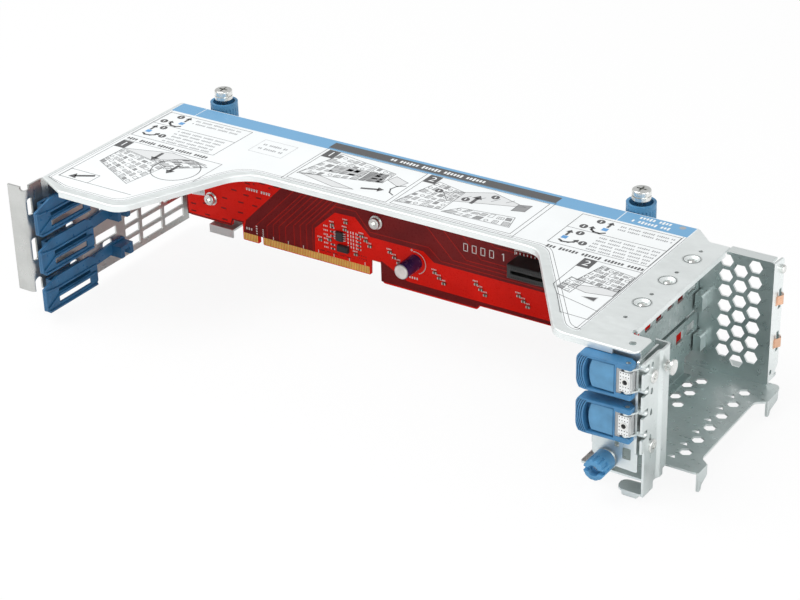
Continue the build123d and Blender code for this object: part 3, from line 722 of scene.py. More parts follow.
@dataclass
class Sheetmetal:
    """Small edges of the folded sheets, which the solids leave out, and painted shade around the dimples, in
    the small holes and in the gap between the slot covers.
    """

    floor_level: float = -60.5
    lip_plane: float = 299.2
    lip_front: float = -104.0
    lip_back: float = -24.0
    lip_reach: float = 4.4
    lip_gap: float = 0.02
    lip_thickness: float = 0.7
    lip_bend: float = 0.9
    cover_lip_thickness: float = 0.6
    hole_radius: float = 0.96
    dimple_line: float = 302.8
    dimple_rows: tuple[float, ...] = (-28.7, -51.85, -75.0)
    hole_rows: tuple[float, ...] = (-20.1, -43.25, -66.4, -89.7)
    hole_floor: float = -0.98

    def dimples(self) -> None:
        """Painted shade rings around the cover's three dimples, and painted shadow discs in its small holes.
        """
        # dark rings at the dimples' rims: painted shade
        edges = Marks("dimple_shade_rings", Side.COVER, STEEL_PAINTED_SHADE, INK)
        for y in self.dimple_rows:
            for radius, width in ((3.8, 0.32), (4.3, 0.1)):
                edges.ring(self.dimple_line, y, radius, width)
        edges.print_on()
        # dark discs on the rail under the cover's small holes: painted shadow in the holes
        floors = Marks("cover_hole_shadows", Side.COVER, SHADOW, self.hole_floor)
        for y in self.hole_rows:
            floors.disc(self.dimple_line, y, self.hole_radius)
        floors.print_on()

    def shaded_cover_lip(self) -> None:
        """Upper lip of the lower slot cover, which closes the gap under the upper one; its dark steel is
        painted shade in that gap.
        """
        _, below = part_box("slot_cover_lower")
        above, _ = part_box("slot_cover_upper")
        middle = CAGE.at(self.lip_plane - 0.4, (self.lip_front + self.lip_back) / 2, 0.0)
        middle.z = (above[2] + below[2]) / 2
        piece = add(bpy.ops.mesh.primitive_cube_add, "shaded_cover_lip", size=1.0, location=middle)
        height = above[2] - below[2] + 4.0 * MM
        piece.scale = (self.cover_lip_thickness * MM, (self.lip_back - self.lip_front) * MM, height)
        bpy.ops.object.transform_apply(location=True, rotation=True, scale=True)
        modify(piece, "BEVEL", width=0.2 * MM, segments=3)
        # dark steel: painted shade in the gap between the slot covers
        WARDROBE.mount(piece, STEEL_PAINTED_SHADE)

    def floor_lip(self) -> None:
        """Folded-up lip of the floor, under the lower slot cover."""
        cover_low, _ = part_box("slot_cover_lower")
        left = self.lip_plane - self.lip_bend
        level = self.floor_level + self.lip_gap
        middle = (self.lip_front + self.lip_back) / 2
        place = CAGE.at(left + self.lip_reach / 2, middle, level)
        foot = CAGE.at(left, self.lip_front, level)
        piece = add(bpy.ops.mesh.primitive_plane_add, "floor_lip", size=MM, location=place)
        bpy.ops.transform.resize(value=(self.lip_reach, self.lip_back - self.lip_front, 1))
        bpy.ops.object.transform_apply(location=True, rotation=False, scale=True)
        mode("EDIT")
        bpy.ops.mesh.select_all(action="DESELECT")
        mode("OBJECT")
        for edge in piece.data.edges:
            ends = [piece.data.vertices[i].co.x for i in edge.vertices]
            edge.select = all(abs(x - foot.x) < 1e-6 for x in ends)
        mode("EDIT")
        bpy.ops.mesh.select_mode(type="EDGE")
        rise = cover_low[2] - foot.z - 0.4 * MM
        bpy.ops.mesh.extrude_region_move(TRANSFORM_OT_translate={"value": (0, 0, rise)})
        bpy.ops.mesh.select_all(action="SELECT")
        bpy.ops.mesh.normals_make_consistent(inside=False)
        mode("OBJECT")
        modify(piece, "BEVEL", width=self.lip_bend * MM, segments=4, limit_method="ANGLE")
        level_faces = [face for face in piece.data.polygons if abs(face.normal.z) > 0.9]
        widest = max(level_faces, key=lambda face: face.area)
        side = 1.0 if widest.normal.z > 0 else -1.0
        modify(piece, "SOLIDIFY", thickness=self.lip_thickness * MM, offset=side)
        # darker inner steel: painted shade of the interior
        WARDROBE.mount(piece, STEEL_INNER_SHADED)

    def build(self) -> None:
        """Adds the edges, the lips and the painted shade."""
        self.floor_lip()
        self.shaded_cover_lip()
        self.dimples()


@dataclass
class Board:
    """The circuit board: its solder-mask fields, traces, small print and parts."""

    face: float = 7.0
    connector_face: float = 18.2
    slot_floor: float = 9.52
    contact_count: int = 40
    first_contact: float = 3.0
    contact_pitch: float = 0.95
    contact_side: float = 0.5
    opening_side: float = 2.35
    trace_width: float = 0.4
    chip_top: float = 0.9
    field_left: float = 92.0
    field_top: float = -4.5
    field_bends: tuple[Point, ...] = (
        (98.6, -36.0), (110.6, -35.6), (119.3, -44.2), (150.3, -44.2), (156.3, -48.8), (291.3, -49.0),
    )
    print_runs: tuple[tuple[Point, Point, int, float, float], ...] = (
        ((44.4, -35.6), (1.55, 0.0), 5, 0.85, 1.5),
        ((44.7, -35.2), (1.55, 0.0), 5, 1.1, 0.35),
        ((53.7, -35.6), (1.55, 0.0), 4, 0.85, 1.5),
        ((54.0, -35.2), (1.55, 0.0), 4, 1.1, 0.35),
        ((59.6, -59.9), (9.35, 0.0), 7, 0.4, 1.7),
        ((42.9, -58.1), (1.5, 0.0), 3, 0.8, 1.3),
        ((49.2, -55.6), (0.0, -1.35), 4, 0.9, 0.7),
        ((53.2, -56.6), (0.0, -1.15), 4, 0.8, 0.6),
        ((91.6, -44.6), (0.0, -2.35), 6, 0.5, 0.85),
        ((92.55, -44.6), (0.0, -2.35), 6, 0.5, 0.85),
        ((93.5, -44.6), (0.0, -2.35), 6, 0.5, 0.85),
        ((106.0, -44.7), (0.0, -2.0), 5, 0.6, 1.3),
        ((107.7, -44.7), (0.0, -2.0), 5, 0.5, 1.3),
        ((109.2, -44.7), (0.0, -2.0), 5, 0.6, 1.3),
        ((110.9, -44.7), (0.0, -2.0), 5, 0.5, 1.3),
        ((142.2, -60.2), (1.4, 0.0), 4, 0.7, 1.2),
        ((202.4, -31.9), (2.0, 0.0), 12, 0.6, 1.2),
    )
    single_chips: tuple[Point, ...] = (
        (89.5, -52.9), (105.3, -39.7), (97.0, -42.8), (104.7, -43.7), (95.1, -51.6), (114.7, -44.8),
        (117.0, -46.7), (119.2, -49.2), (110.8, -55.8),
    )
    chip_rows: tuple[Point, ...] = ((131.1, -49.4), (157.0, -53.9), (180.4, -54.0), (204.0, -54.0))

    def chips(self) -> list[Point]:
        """Places of the small chip parts."""
        rows = [(x + 2.5 * i, z - 2.3 * i) for x, z in self.chip_rows for i in range(3)]
        return list(self.single_chips) + rows

    def fields(self) -> None:
        """Maroon areas over the bright red board, as convex patches side by side."""
        marks = Marks("board_dark_fields", Side.BOARD, BOARD_MAROON, self.face)
        marks.field([(40.8, -60.9), (85.3, -60.9), (85.9, -47.6), (42.6, -53.7)])
        marks.field([(42.6, -53.7), (85.9, -47.6), (98.6, -36.0), (self.field_left, self.field_top)])
        starts = [self.field_left] + [x for x, _ in self.field_bends[1:]]
        for left, right, start in zip(self.field_bends, self.field_bends[1:], starts):
            marks.field([left, right, (right[0], self.field_top), (start, self.field_top)])
        marks.field([(125.2, -67.0), (140.6, -67.0), (140.6, -63.1), (125.2, -55.6)])
        marks.field([(140.6, -67.0), (180.2, -67.0), (180.2, -63.2), (140.6, -63.1)])
        marks.field([(180.2, -67.0), (182.1, -65.1), (182.1, -63.2), (180.2, -63.2)])
        marks.field([(182.1, -65.1), (291.3, -65.1), (291.3, -63.3), (182.1, -63.2)])
        edge = [(5.0, -46.8), (5.0, -58.4), (32.8, -58.4), (34.0, -55.2), (40.8, -55.2)]
        marks.stroke(edge, 0.7)
        marks.print_on()

    def traces(self) -> None:
        """Red lines across the maroon areas, and the red bands at the card brackets' end."""
        marks = Marks("board_traces", Side.BOARD, BOARD_TRACE, self.face + FIRST_COAT)
        bottoms = (55.8, 59.8, 63.5, 67.5, 72.8, 76.8, 80.6, 84.4)
        bends = (-53.8, -52.3, -52.2, -51.7, -49.4, -48.4, -47.2, -46.3)
        for x, bend in zip(bottoms, bends):
            marks.stroke([(x, -60.4), (x, bend), (x - 6.0 - bend, -6.0)], self.trace_width)
        marks.stroke([(47.4, -56.6), (98.0, -6.0)], self.trace_width)
        upper = [(84.6, -46.3), (98.8, -32.6), (111.2, -32.4), (119.3, -41.6), (153.5, -41.4)]
        marks.stroke(upper + [(160.2, -47.1), (290.0, -47.5)], self.trace_width)
        for start, bend, end in (
            ((128.0, -6.0), (167.0, -44.9), (290.0, -45.3)),
            ((138.0, -6.0), (174.6, -42.9), (203.0, -43.0)),
            ((148.6, -6.0), (183.1, -40.5), (203.0, -40.7)),
            ((164.0, -6.0), (190.0, -32.0), (203.0, -32.0)),
        ):
            marks.stroke([start, bend, end], self.trace_width)
        for i in range(14):
            x = 262.0 + 2.1 * i
            marks.stroke([(x, -44.0), (x, -33.0), (x - 3.0, -30.0)], self.trace_width)
        for i in range(8):
            marks.bar(92.0 + 2.4 * i, -59.4 + 0.5 * (i % 3), 1.2, 0.4)
        marks.print_on()
        bands = Marks("board_bands", Side.BOARD, BOARD_RED, self.face + FIRST_COAT)
        for z, height in ((-26.7, 5.5), (-7.0, 5.0), (-52.0, 6.0)):
            bands.bar(277.0, z, 28.0, height)
        bands.print_on()

    def dashes(self) -> None:
        """Short dark dashes on the left bright field, and small vias by the chips."""
        marks = Marks("board_dashes", Side.BOARD, BOARD_MAROON, self.face)
        seen = [
            (36.0, -38.3), (43.6, -39.5), (51.6, -39.3), (29.6, -44.3), (40.0, -44.3), (48.8, -44.3),
            (8.8, -52.2), (16.8, -50.4), (28.6, -50.2), (39.4, -50.2), (8.6, -56.4), (17.6, -56.6),
            (28.8, -56.6), (54.4, -30.6), (63.0, -30.4), (45.0, -32.6),
        ]
        hidden = [(10.0 + 9.4 * i + 4.0 * row, -12.0 - 6.2 * row) for row in range(3) for i in range(6 - row)]
        for x, z in seen + hidden:
            marks.bar(x, z, 3.3, 0.75)
        for x in (49.0, 58.8):
            marks.disc(x, -32.0, 0.5, 12)
        for i in range(8):
            marks.disc(112.5 + 1.3 * (i % 4), -57.6 + 1.6 * (i // 4), 0.32, 10)
        for i in range(5):
            marks.bar(90.0 + 4.0 * i, -58.8, 2.6, 0.5)
        marks.print_on()

    def small_print(self) -> None:
        """White print: short bars in place of words, tick marks over the contacts, an arc."""
        marks = Marks("board_print", Side.BOARD, BOARD_SILK, self.face + SECOND_COAT)
        for x, z in self.chips():
            marks.run((x - 1.9, z + 1.35), (0.75, 0.0), 4, 0.4, 0.75)
        for start, step, count, width, height in self.print_runs:
            marks.run(start, step, count, width, height)
        for x in (174.4, 179.2, 184.0, 188.8):
            marks.frame([(x - 1.1, -37.9), (x + 1.1, -37.9), (x + 1.1, -34.1), (x - 1.1, -34.1)], 0.4)
        marks.bar(195.4, -36.0, 0.5, 3.9)
        marks.bar(194.9, -34.5, 0.9, 0.4, 45)
        marks.stroke(marks.arc(145.6, -51.6, 5.9, -70, 12, 15), 0.4)
        marks.bar(143.6, -45.2, 1.3, 0.4)
        marks.bar(143.6, -45.2, 0.4, 1.3)
        marks.stroke([(201.6, -32.8), (201.6, -30.4), (226.0, -30.4)], 0.35)
        marks.print_on()

    def solder(self) -> None:
        """Bright solder ends of the chip parts and the small parts beside the control chip."""
        ends = Marks("chip_ends", Side.BOARD, TIN, self.face + self.chip_top)
        for x, z in self.chips():
            for side in (-0.78, 0.78):
                ends.bar(x + side, z, 0.4, 1.16)
        ends.print_on()
        pads = Marks("solder_pads", Side.BOARD, TIN, self.face + FIRST_COAT)
        cores = Marks("small_parts", Side.BOARD, CERAMIC_DARK, self.face + SECOND_COAT)
        left_column = [(96.6, -44.6 - 2.35 * row, 2.6, 0.95) for row in (0, 1, 2, 4, 5)]
        right_column = [(112.6, -44.9 - 2.0 * row, 2.2, 0.9) for row in range(5)]
        for x, z, length, height in left_column + right_column:
            pads.bar(x, z, length, height)
            cores.bar(x, z, length / 2, height)
        pads.print_on()
        cores.print_on()

    def sticker(self) -> None:
        """Small white sticker by the left screw."""
        marks = Marks("board_sticker", Side.BOARD, LABEL_WHITE, self.face + FIRST_COAT)
        marks.field([(8.2, -47.0), (16.8, -46.0), (16.8, -41.0), (8.2, -42.0)])
        marks.print_on()
        ink = Marks("sticker_code", Side.BOARD, LABEL_TEXT, self.face + 2 * FIRST_COAT)
        for i in range(8):
            ink.bar(9.4 + 0.9 * i, -44.4 + 0.1 * i, 0.3 + 0.2 * (i % 2), 2.2)
        ink.print_on()

    def connector_details(self) -> None:
        """Gold spring contacts in the card slots, and painted shade in the small openings along the housings.
        """
        gold = Marks("slot_contacts", Side.BOARD, GOLD, self.slot_floor)
        # dark bars on the housing face: painted shade in its openings
        dots = Marks("slot_opening_shadows", Side.BOARD, SHADOW, self.connector_face)
        for name in ("slot_connector_lower", "slot_connector_upper"):
            left, middle = CAGE.left_middle(name)
            for i in range(self.contact_count):
                x = left + self.first_contact + self.contact_pitch * i
                for side in (-1, 1):
                    gold.bar(x, middle + side * self.contact_side, 0.5, 0.62)
                    dots.bar(x, middle + side * self.opening_side, 0.5, 0.8)
        gold.print_on()
        dots.print_on()

    def build(self) -> None:
        """Prints the board and adds its smallest parts."""
        self.fields()
        self.traces()
        self.dashes()
        self.small_print()
        self.solder()
        self.sticker()
        self.connector_details()


@dataclass(frozen=True)
class KnobPicture:
    """Generic picture of a knob: dots, a straight arrow over a blue square and a curved arrow."""

    dots: tuple[Point, ...]
    arrow_x: float
    tail: float
    head: float
    square: Point
    bow: tuple[Point, ...]
    tip: Point
    square_size: Point = (2.8, 2.8)
    bow_width: float = 1.1


LIFT_PICTURE = KnobPicture(
    dots=((12.8, -16.2), (8.2, -24.0)),
    arrow_x=18.0,
    tail=-19.6,
    head=-14.3,
    square=(18.0, -22.4),
    bow=((19.6, -25.6), (17.6, -27.0), (14.6, -26.8), (12.7, -25.2)),
    tip=(11.9, -21.9),
)
TURN_PICTURE = KnobPicture(
    dots=((13.5, -31.0), (19.3, -39.4)),
    arrow_x=8.9,
    tail=-35.4,
    head=-30.0,
    square=(9.3, -37.7),
    bow=((8.4, -40.8), (10.2, -42.0), (13.2, -41.6), (15.2, -40.2)),
    tip=(16.4, -37.2),
)


@dataclass
class Label:
    """The instruction label: generic fields of colour, frames, arrows and plain numbers."""

    film: float = 0.12
    line: float = 0.28
    top_coat: float = 0.066
    number_box: Point = (6.4, 8.0)
    layers: dict[str, Marks] = field(default_factory=dict)

    def number(self, digit: str, x: float, y: float, size: float = 5.2) -> None:
        """Dark square with a plain white number.

        Args:
            digit: the number.
            x: its centre along the cage.
            y: its centre across it.
            size: its height in millimetres.
        """
        self.layers["dark"].bar(x, y, *self.number_box)
        name = f"label_number_{digit}_{int(x)}"
        piece = add(bpy.ops.object.text_add, name, location=(0, 0, 0))
        piece.data.body = digit
        piece.data.size = size * MM * 1.35
        piece.data.align_x = "CENTER"
        piece.data.align_y = "CENTER"
        bpy.ops.object.convert(target="MESH")
        for vertex in piece.data.vertices:
            vertex.co = CAGE.at(x, y, self.film + self.top_coat) + vertex.co
        WARDROBE.mount(piece, LABEL_WHITE)

    def words(self, layer: str, left: float, right: float, y: float, height: float = 1.25) -> None:
        """Row of short bars in place of words.

        Args:
            layer: the ink's name.
            left: where the row starts.
            right: where it ends.
            y: its centre across the cage.
            height: height of the bars.
        """
        step = height * 0.8
        for i in range(int((right - left) / step)):
            if (i * 5 + int(-y * 3)) % 7:
                tall = height * (1.0 if (i * 3 + int(-y)) % 4 else 1.35)
                self.layers[layer].bar(left + step * (i + 0.5), y, step * 0.62, tall)

    def arrow(self, x0: float, y0: float, x1: float, y1: float, width: float = 1.2) -> None:
        """Straight dark arrow with a solid head.

        Args:
            x0: its tail along the cage.
            y0: its tail across it.
            x1: its tip along the cage.
            y1: its tip across it.
            width: the shaft's width.
        """
        dark = self.layers["dark"]
        tail = Vector((x0, y0))
        tip = Vector((x1, y1))
        along = (tip - tail).normalized()
        across = Vector((-along.y, along.x))
        neck = tip - along * 2.1 * width
        dark.stroke([tuple(tail), tuple(neck)], width)
        dark.field([tuple(neck - across * width * 1.5), tuple(tip), tuple(neck + across * width * 1.5)])

    def box(self, x0: float, x1: float, y0: float, y1: float) -> None:
        """Thin frame along the cage's axes."""
        self.layers["line"].frame([(x0, y1), (x1, y1), (x1, y0), (x0, y0)], self.line)

    def fill(self, layer: str, *corners: Point) -> None:
        """Filled and outlined shape."""
        self.layers[layer].field(list(corners))
        self.layers["line"].frame(list(corners), self.line)

    def dot(self, x: float, y: float) -> None:
        """Dark dot with a pale mark in it."""
        self.layers["dark"].disc(x, y, 2.0)
        self.layers["light"].bar(x, y, 0.55, 2.0)

    def knob_picture(self, picture: KnobPicture, shift: float) -> None:
        """Prints a picture of moving a knob.

        Args:
            picture: its places.
            shift: how far along the cage it stands.
        """
        for x, y in picture.dots:
            self.dot(shift + x, y)
        self.arrow(shift + picture.arrow_x, picture.tail, shift + picture.arrow_x, picture.head)
        self.layers["blue"].bar(shift + picture.square[0], picture.square[1], *picture.square_size)
        curve = [(shift + x, y) for x, y in picture.bow]
        self.layers["dark"].stroke(curve, picture.bow_width)
        self.arrow(*curve[-1], shift + picture.tip[0], picture.tip[1], picture.bow_width)

    def machine(self, corners: tuple[Point, Point, Point, Point], columns: int, rows: int) -> None:
        """Generic drawing of an open chassis in a slanted field: boxes, bars and round parts.

        Args:
            corners: the field's corners, anticlockwise from the front left one.
            columns: boxes along it.
            rows: boxes across it.
        """
        thin = self.layers["line"]
        a, b, c, d = (Vector(corner) for corner in corners)

        def place(u: float, v: float) -> Point:
            """Point of the field from fractions of its size."""
            return tuple((a * (1 - u) + b * u) * (1 - v) + (d * (1 - u) + c * u) * v)

        def patch(u: float, v: float, width: float, height: float) -> list[Point]:
            """Small slanted box of the field."""
            return [place(u, v), place(u + width, v), place(u + width, v + height), place(u, v + height)]

        thin.frame(patch(0, 0, 1, 1), self.line)
        for column in range(columns):
            for row in range(rows):
                u = (column + 0.12) / columns
                v = (row + 0.14) / rows
                wide = (0.76 - 0.12 * ((column + row) % 3)) / columns
                tall = (0.72 - 0.14 * ((column * 2 + row) % 3)) / rows
                kind = (column * 3 + row * 5 + columns) % 7
                if kind in (0, 4):
                    self.layers["shade"].field(patch(u, v, wide, tall))
                elif kind == 2:
                    self.layers["mid"].field(patch(u, v, wide, tall))
                if kind == 5:
                    thin.ring(*place(u + wide / 2, v + tall / 2), 0.95, self.line * 0.8, 14)
                    continue
                thin.frame(patch(u, v, wide, tall), self.line * 0.75)
                if kind in (1, 6):
                    for step in (0.3, 0.6):
                        ends = [place(u + wide * step, v), place(u + wide * step, v + tall)]
                        thin.stroke(ends, self.line * 0.7)

    def left_group(self) -> None:
        """Frames and drawings over the left wall."""
        self.box(4.6, 55.5, -13.5, -45.5)
        self.layers["line"].stroke([(4.6, -28.0), (55.5, -28.0)], self.line)
        self.knob_picture(LIFT_PICTURE, 0.0)
        self.knob_picture(TURN_PICTURE, 0.0)
        for y in (-16.3, -19.5):
            self.words("text", 22.5, 50.5, y)
        for y in (-31.0, -34.2, -37.4, -40.7, -43.6):
            self.words("text", 22.5, 52.0, y)
        faint = [(66.5, -32.0), (86.0, -32.0), (86.0, -17.5), (66.5, -17.5)]
        self.layers["text"].frame(faint, 0.18)
        for y in (-22.5, -27.0):
            self.words("text", 68.8, 84.0, y, 1.5)
        self.words("dark", 5.5, 56.5, -49.4, 2.0)
        outline = [(50.0, -100.8), (6.0, -100.8), (6.0, -52.0), (66.0, -52.0), (66.0, -75.0)]
        self.layers["line"].stroke(outline, self.line)
        self.number("1", 9.2, -56.6)
        self.fill("pale", (12.0, -60.5), (34.0, -65.0), (60.0, -56.5), (37.0, -53.2))
        self.machine(((12.0, -78.0), (40.0, -92.0), (44.0, -67.5), (12.5, -61.5)), 9, 5)
        self.machine(((34.0, -64.0), (45.0, -70.0), (62.0, -58.5), (51.0, -55.0)), 5, 3)
        self.layers["line"].ring(50.5, -68.0, 12.0, self.line * 1.4, 44)
        self.arrow(33.0, -56.5, 33.0, -65.0, 1.7)
        self.arrow(49.0, -64.0, 49.0, -73.5, 1.7)
        self.box(6.2, 23.7, -91.6, -100.8)
        self.arrow(21.0, -93.2, 10.4, -99.0, 1.8)

    def middle_group(self) -> None:
        """Two framed drawings under the title bar."""
        self.box(99.3, 225.0, -9.8, -50.0)
        self.box(101.0, 156.8, -11.6, -47.7)
        self.box(159.0, 222.7, -11.6, -47.3)
        self.machine(((102.4, -41.5), (144.0, -31.0), (144.0, -19.4), (109.0, -13.0)), 10, 5)
        self.fill("mid", (132.5, -33.0), (142.0, -31.0), (142.0, -22.0), (132.5, -23.6))
        self.fill("shade", (114.5, -32.5), (131.5, -30.5), (131.5, -23.5), (114.5, -25.1))
        self.fill("pale", (104.0, -41.0), (126.0, -46.0), (136.0, -43.6), (112.0, -38.4))
        self.fill("pale", (144.5, -27.0), (152.5, -31.0), (154.5, -25.0), (146.0, -21.5))
        loop = [(155.4, -28.5), (152.0, -30.6), (151.0, -34.6), (152.6, -38.0), (155.4, -39.6)]
        self.layers["line"].stroke(loop, 0.7)
        self.arrow(139.0, -40.5, 149.0, -37.0, 1.5)
        self.number("1", 104.4, -15.9)
        self.machine(((159.8, -44.6), (183.0, -41.5), (183.0, -20.6), (166.5, -16.5)), 6, 6)
        self.fill("pale", (174.0, -25.0), (180.0, -32.0), (215.0, -20.4), (195.0, -14.0))
        for i in range(5):
            u = 178.5 + 6.6 * i
            self.layers["line"].stroke([(u, -29.2 + 2.15 * i), (u + 2.4, -24.5 + 1.9 * i)], self.line)
        self.fill("mid", (211.0, -26.5), (217.0, -24.6), (217.0, -17.6), (211.0, -19.6))
        self.machine(((184.0, -43.0), (219.0, -42.0), (216.5, -32.0), (190.0, -35.5)), 7, 2)
        for x, y in ((171.4, -24.8), (197.8, -18.0), (186.9, -26.6)):
            self.dot(x, y)
        self.arrow(191.2, -28.6, 191.2, -20.0, 1.7)
        self.number("2", 162.4, -15.9)

    def right_group(self) -> None:
        """Frames and drawings over the latches."""
        thin = self.layers["line"]
        self.box(240.6, 290.0, -13.0, -45.0)
        thin.stroke([(240.6, -27.7), (290.0, -27.7)], self.line)
        self.knob_picture(LIFT_PICTURE, 238.9)
        self.knob_picture(TURN_PICTURE, 235.7)
        for y in (-16.2, -19.3):
            self.words("text", 261.5, 288.5, y)
        for y in (-30.7, -33.9, -37.0, -40.1, -43.0):
            self.words("text", 258.5, 288.5, y)
        self.words("dark", 242.0, 290.0, -48.8, 2.0)
        left = [(262.8, -51.4), (262.8, -79.0), (268.5, -86.0), (277.7, -99.5)]
        thin.frame(left + [(290.8, -99.8), (290.8, -51.4)], self.line)
        self.number("2", 265.9, -55.6)
        self.fill("pale", (266.6, -76.5), (278.5, -79.5), (290.0, -76.8), (290.0, -70.0))
        self.machine(((269.6, -71.0), (290.0, -72.6), (290.0, -57.0), (273.0, -54.0)), 7, 5)
        self.machine(((265.2, -80.5), (272.6, -82.6), (273.4, -71.4), (266.4, -69.6)), 2, 4)
        self.layers["shade"].field([(278.4, -83.2), (285.4, -85.0), (285.4, -80.6)])
        self.layers["dark"].field([(279.4, -83.0), (285.0, -84.4), (285.0, -81.4)])
        thin.stroke([(268.5, -86.0), (290.8, -91.6)], self.line)

    def rim_path(self, inset: float) -> list[Point]:
        """Line inside the film's edge, from the back left corner round the front to the right.

        Args:
            inset: distance from the edge.

        Returns:
            The line's points, with rounded corners.
        """
        left, right, front = 2.3 + inset, 292.0 - inset, -110.0 + inset
        corners = [
            (left, -11.4, 0.0), (left, -104.4, 1.0), (17.0, front, 1.0), (50.5 - inset, front, 9.0),
            (77.5 - inset * 0.6, -50.4 + inset, 18.0), (243.5 + inset * 0.6, -50.4 + inset, 12.0),
            (286.0 + inset, front, 9.0), (right, front, 1.0), (right, -11.4, 0.0),
        ]
        points = []
        for i, (x, y, radius) in enumerate(corners):
            here = Vector((x, y))
            if radius == 0.0:
                points.append((x, y))
                continue
            before = (Vector(corners[i - 1][:2]) - here).normalized()
            after = (Vector(corners[i + 1][:2]) - here).normalized()
            half = before.angle(after) / 2
            reach = radius / math.tan(half)
            start = here + before * reach
            end = here + after * reach
            for step in range(7):
                t = step / 6
                points.append(tuple(start * (1 - t) ** 2 + here * 2 * t * (1 - t) + end * t * t))
        return points

    def stripes(self) -> None:
        """Blue stripe along the back with the dark title bar, the film's printed border, and a dark line
        along its edge as painted shadow of the edge.
        """
        blue = Marks("label_stripe", Side.COVER, LABEL_STRIPE, self.film)
        for x0, x1 in ((2.6, 17.3), (17.7, 256.4), (256.8, 291.7)):
            blue.field([(x0, -11.2), (x1, -11.2), (x1, -1.1), (x0, -1.1)])
        blue.print_on()
        title_bar = Marks("label_title_bar", Side.COVER, LABEL_GREY, self.film + FIRST_COAT)
        title_bar.field([(98.6, -9.4), (224.5, -9.4), (224.5, -3.2), (98.6, -3.2)])
        title_bar.print_on()
        lamp = Marks("label_lamp", Side.COVER, LABEL_TEXT, self.film + FIRST_COAT)
        lamp.disc(285.8, -3.6, 1.5)
        lamp.print_on()
        rim = Marks("label_border_and_edge_shadow", Side.COVER, LABEL_LINE, self.film)
        # outer line, just inside the film's edge: painted shadow of the edge; inner line: the printed border
        for inset in (0.35, 1.7):
            rim.stroke(self.rim_path(inset), 0.24)
        rim.print_on()

    def build(self) -> None:
        """Prints the label film."""
        self.stripes()
        for name, ink, level in (
            ("pale", LABEL_PALE, 0.0),
            ("shade", LABEL_SHADE, FIRST_COAT),
            ("mid", LABEL_MID, FIRST_COAT),
            ("line", LABEL_LINE, 2 * FIRST_COAT),
            ("text", LABEL_TEXT, FIRST_COAT),
            ("dark", LABEL_GREY, 3 * FIRST_COAT),
            ("blue", LABEL_BLUE, FIRST_COAT),
            ("title", LABEL_WHITE, 2 * FIRST_COAT),
            ("light", LABEL_WHITE, self.top_coat),
        ):
            self.layers[name] = Marks("label_" + name, Side.COVER, ink, self.film + level)
        self.words("title", 132.5, 186.0, -6.3, 2.2)
        self.words("title", 264.5, 282.0, -3.6, 2.0)
        self.words("title", 262.5, 283.0, -7.9, 2.0)
        self.left_group()
        self.middle_group()
        self.right_group()
        for layer in self.layers.values():
            layer.print_on()


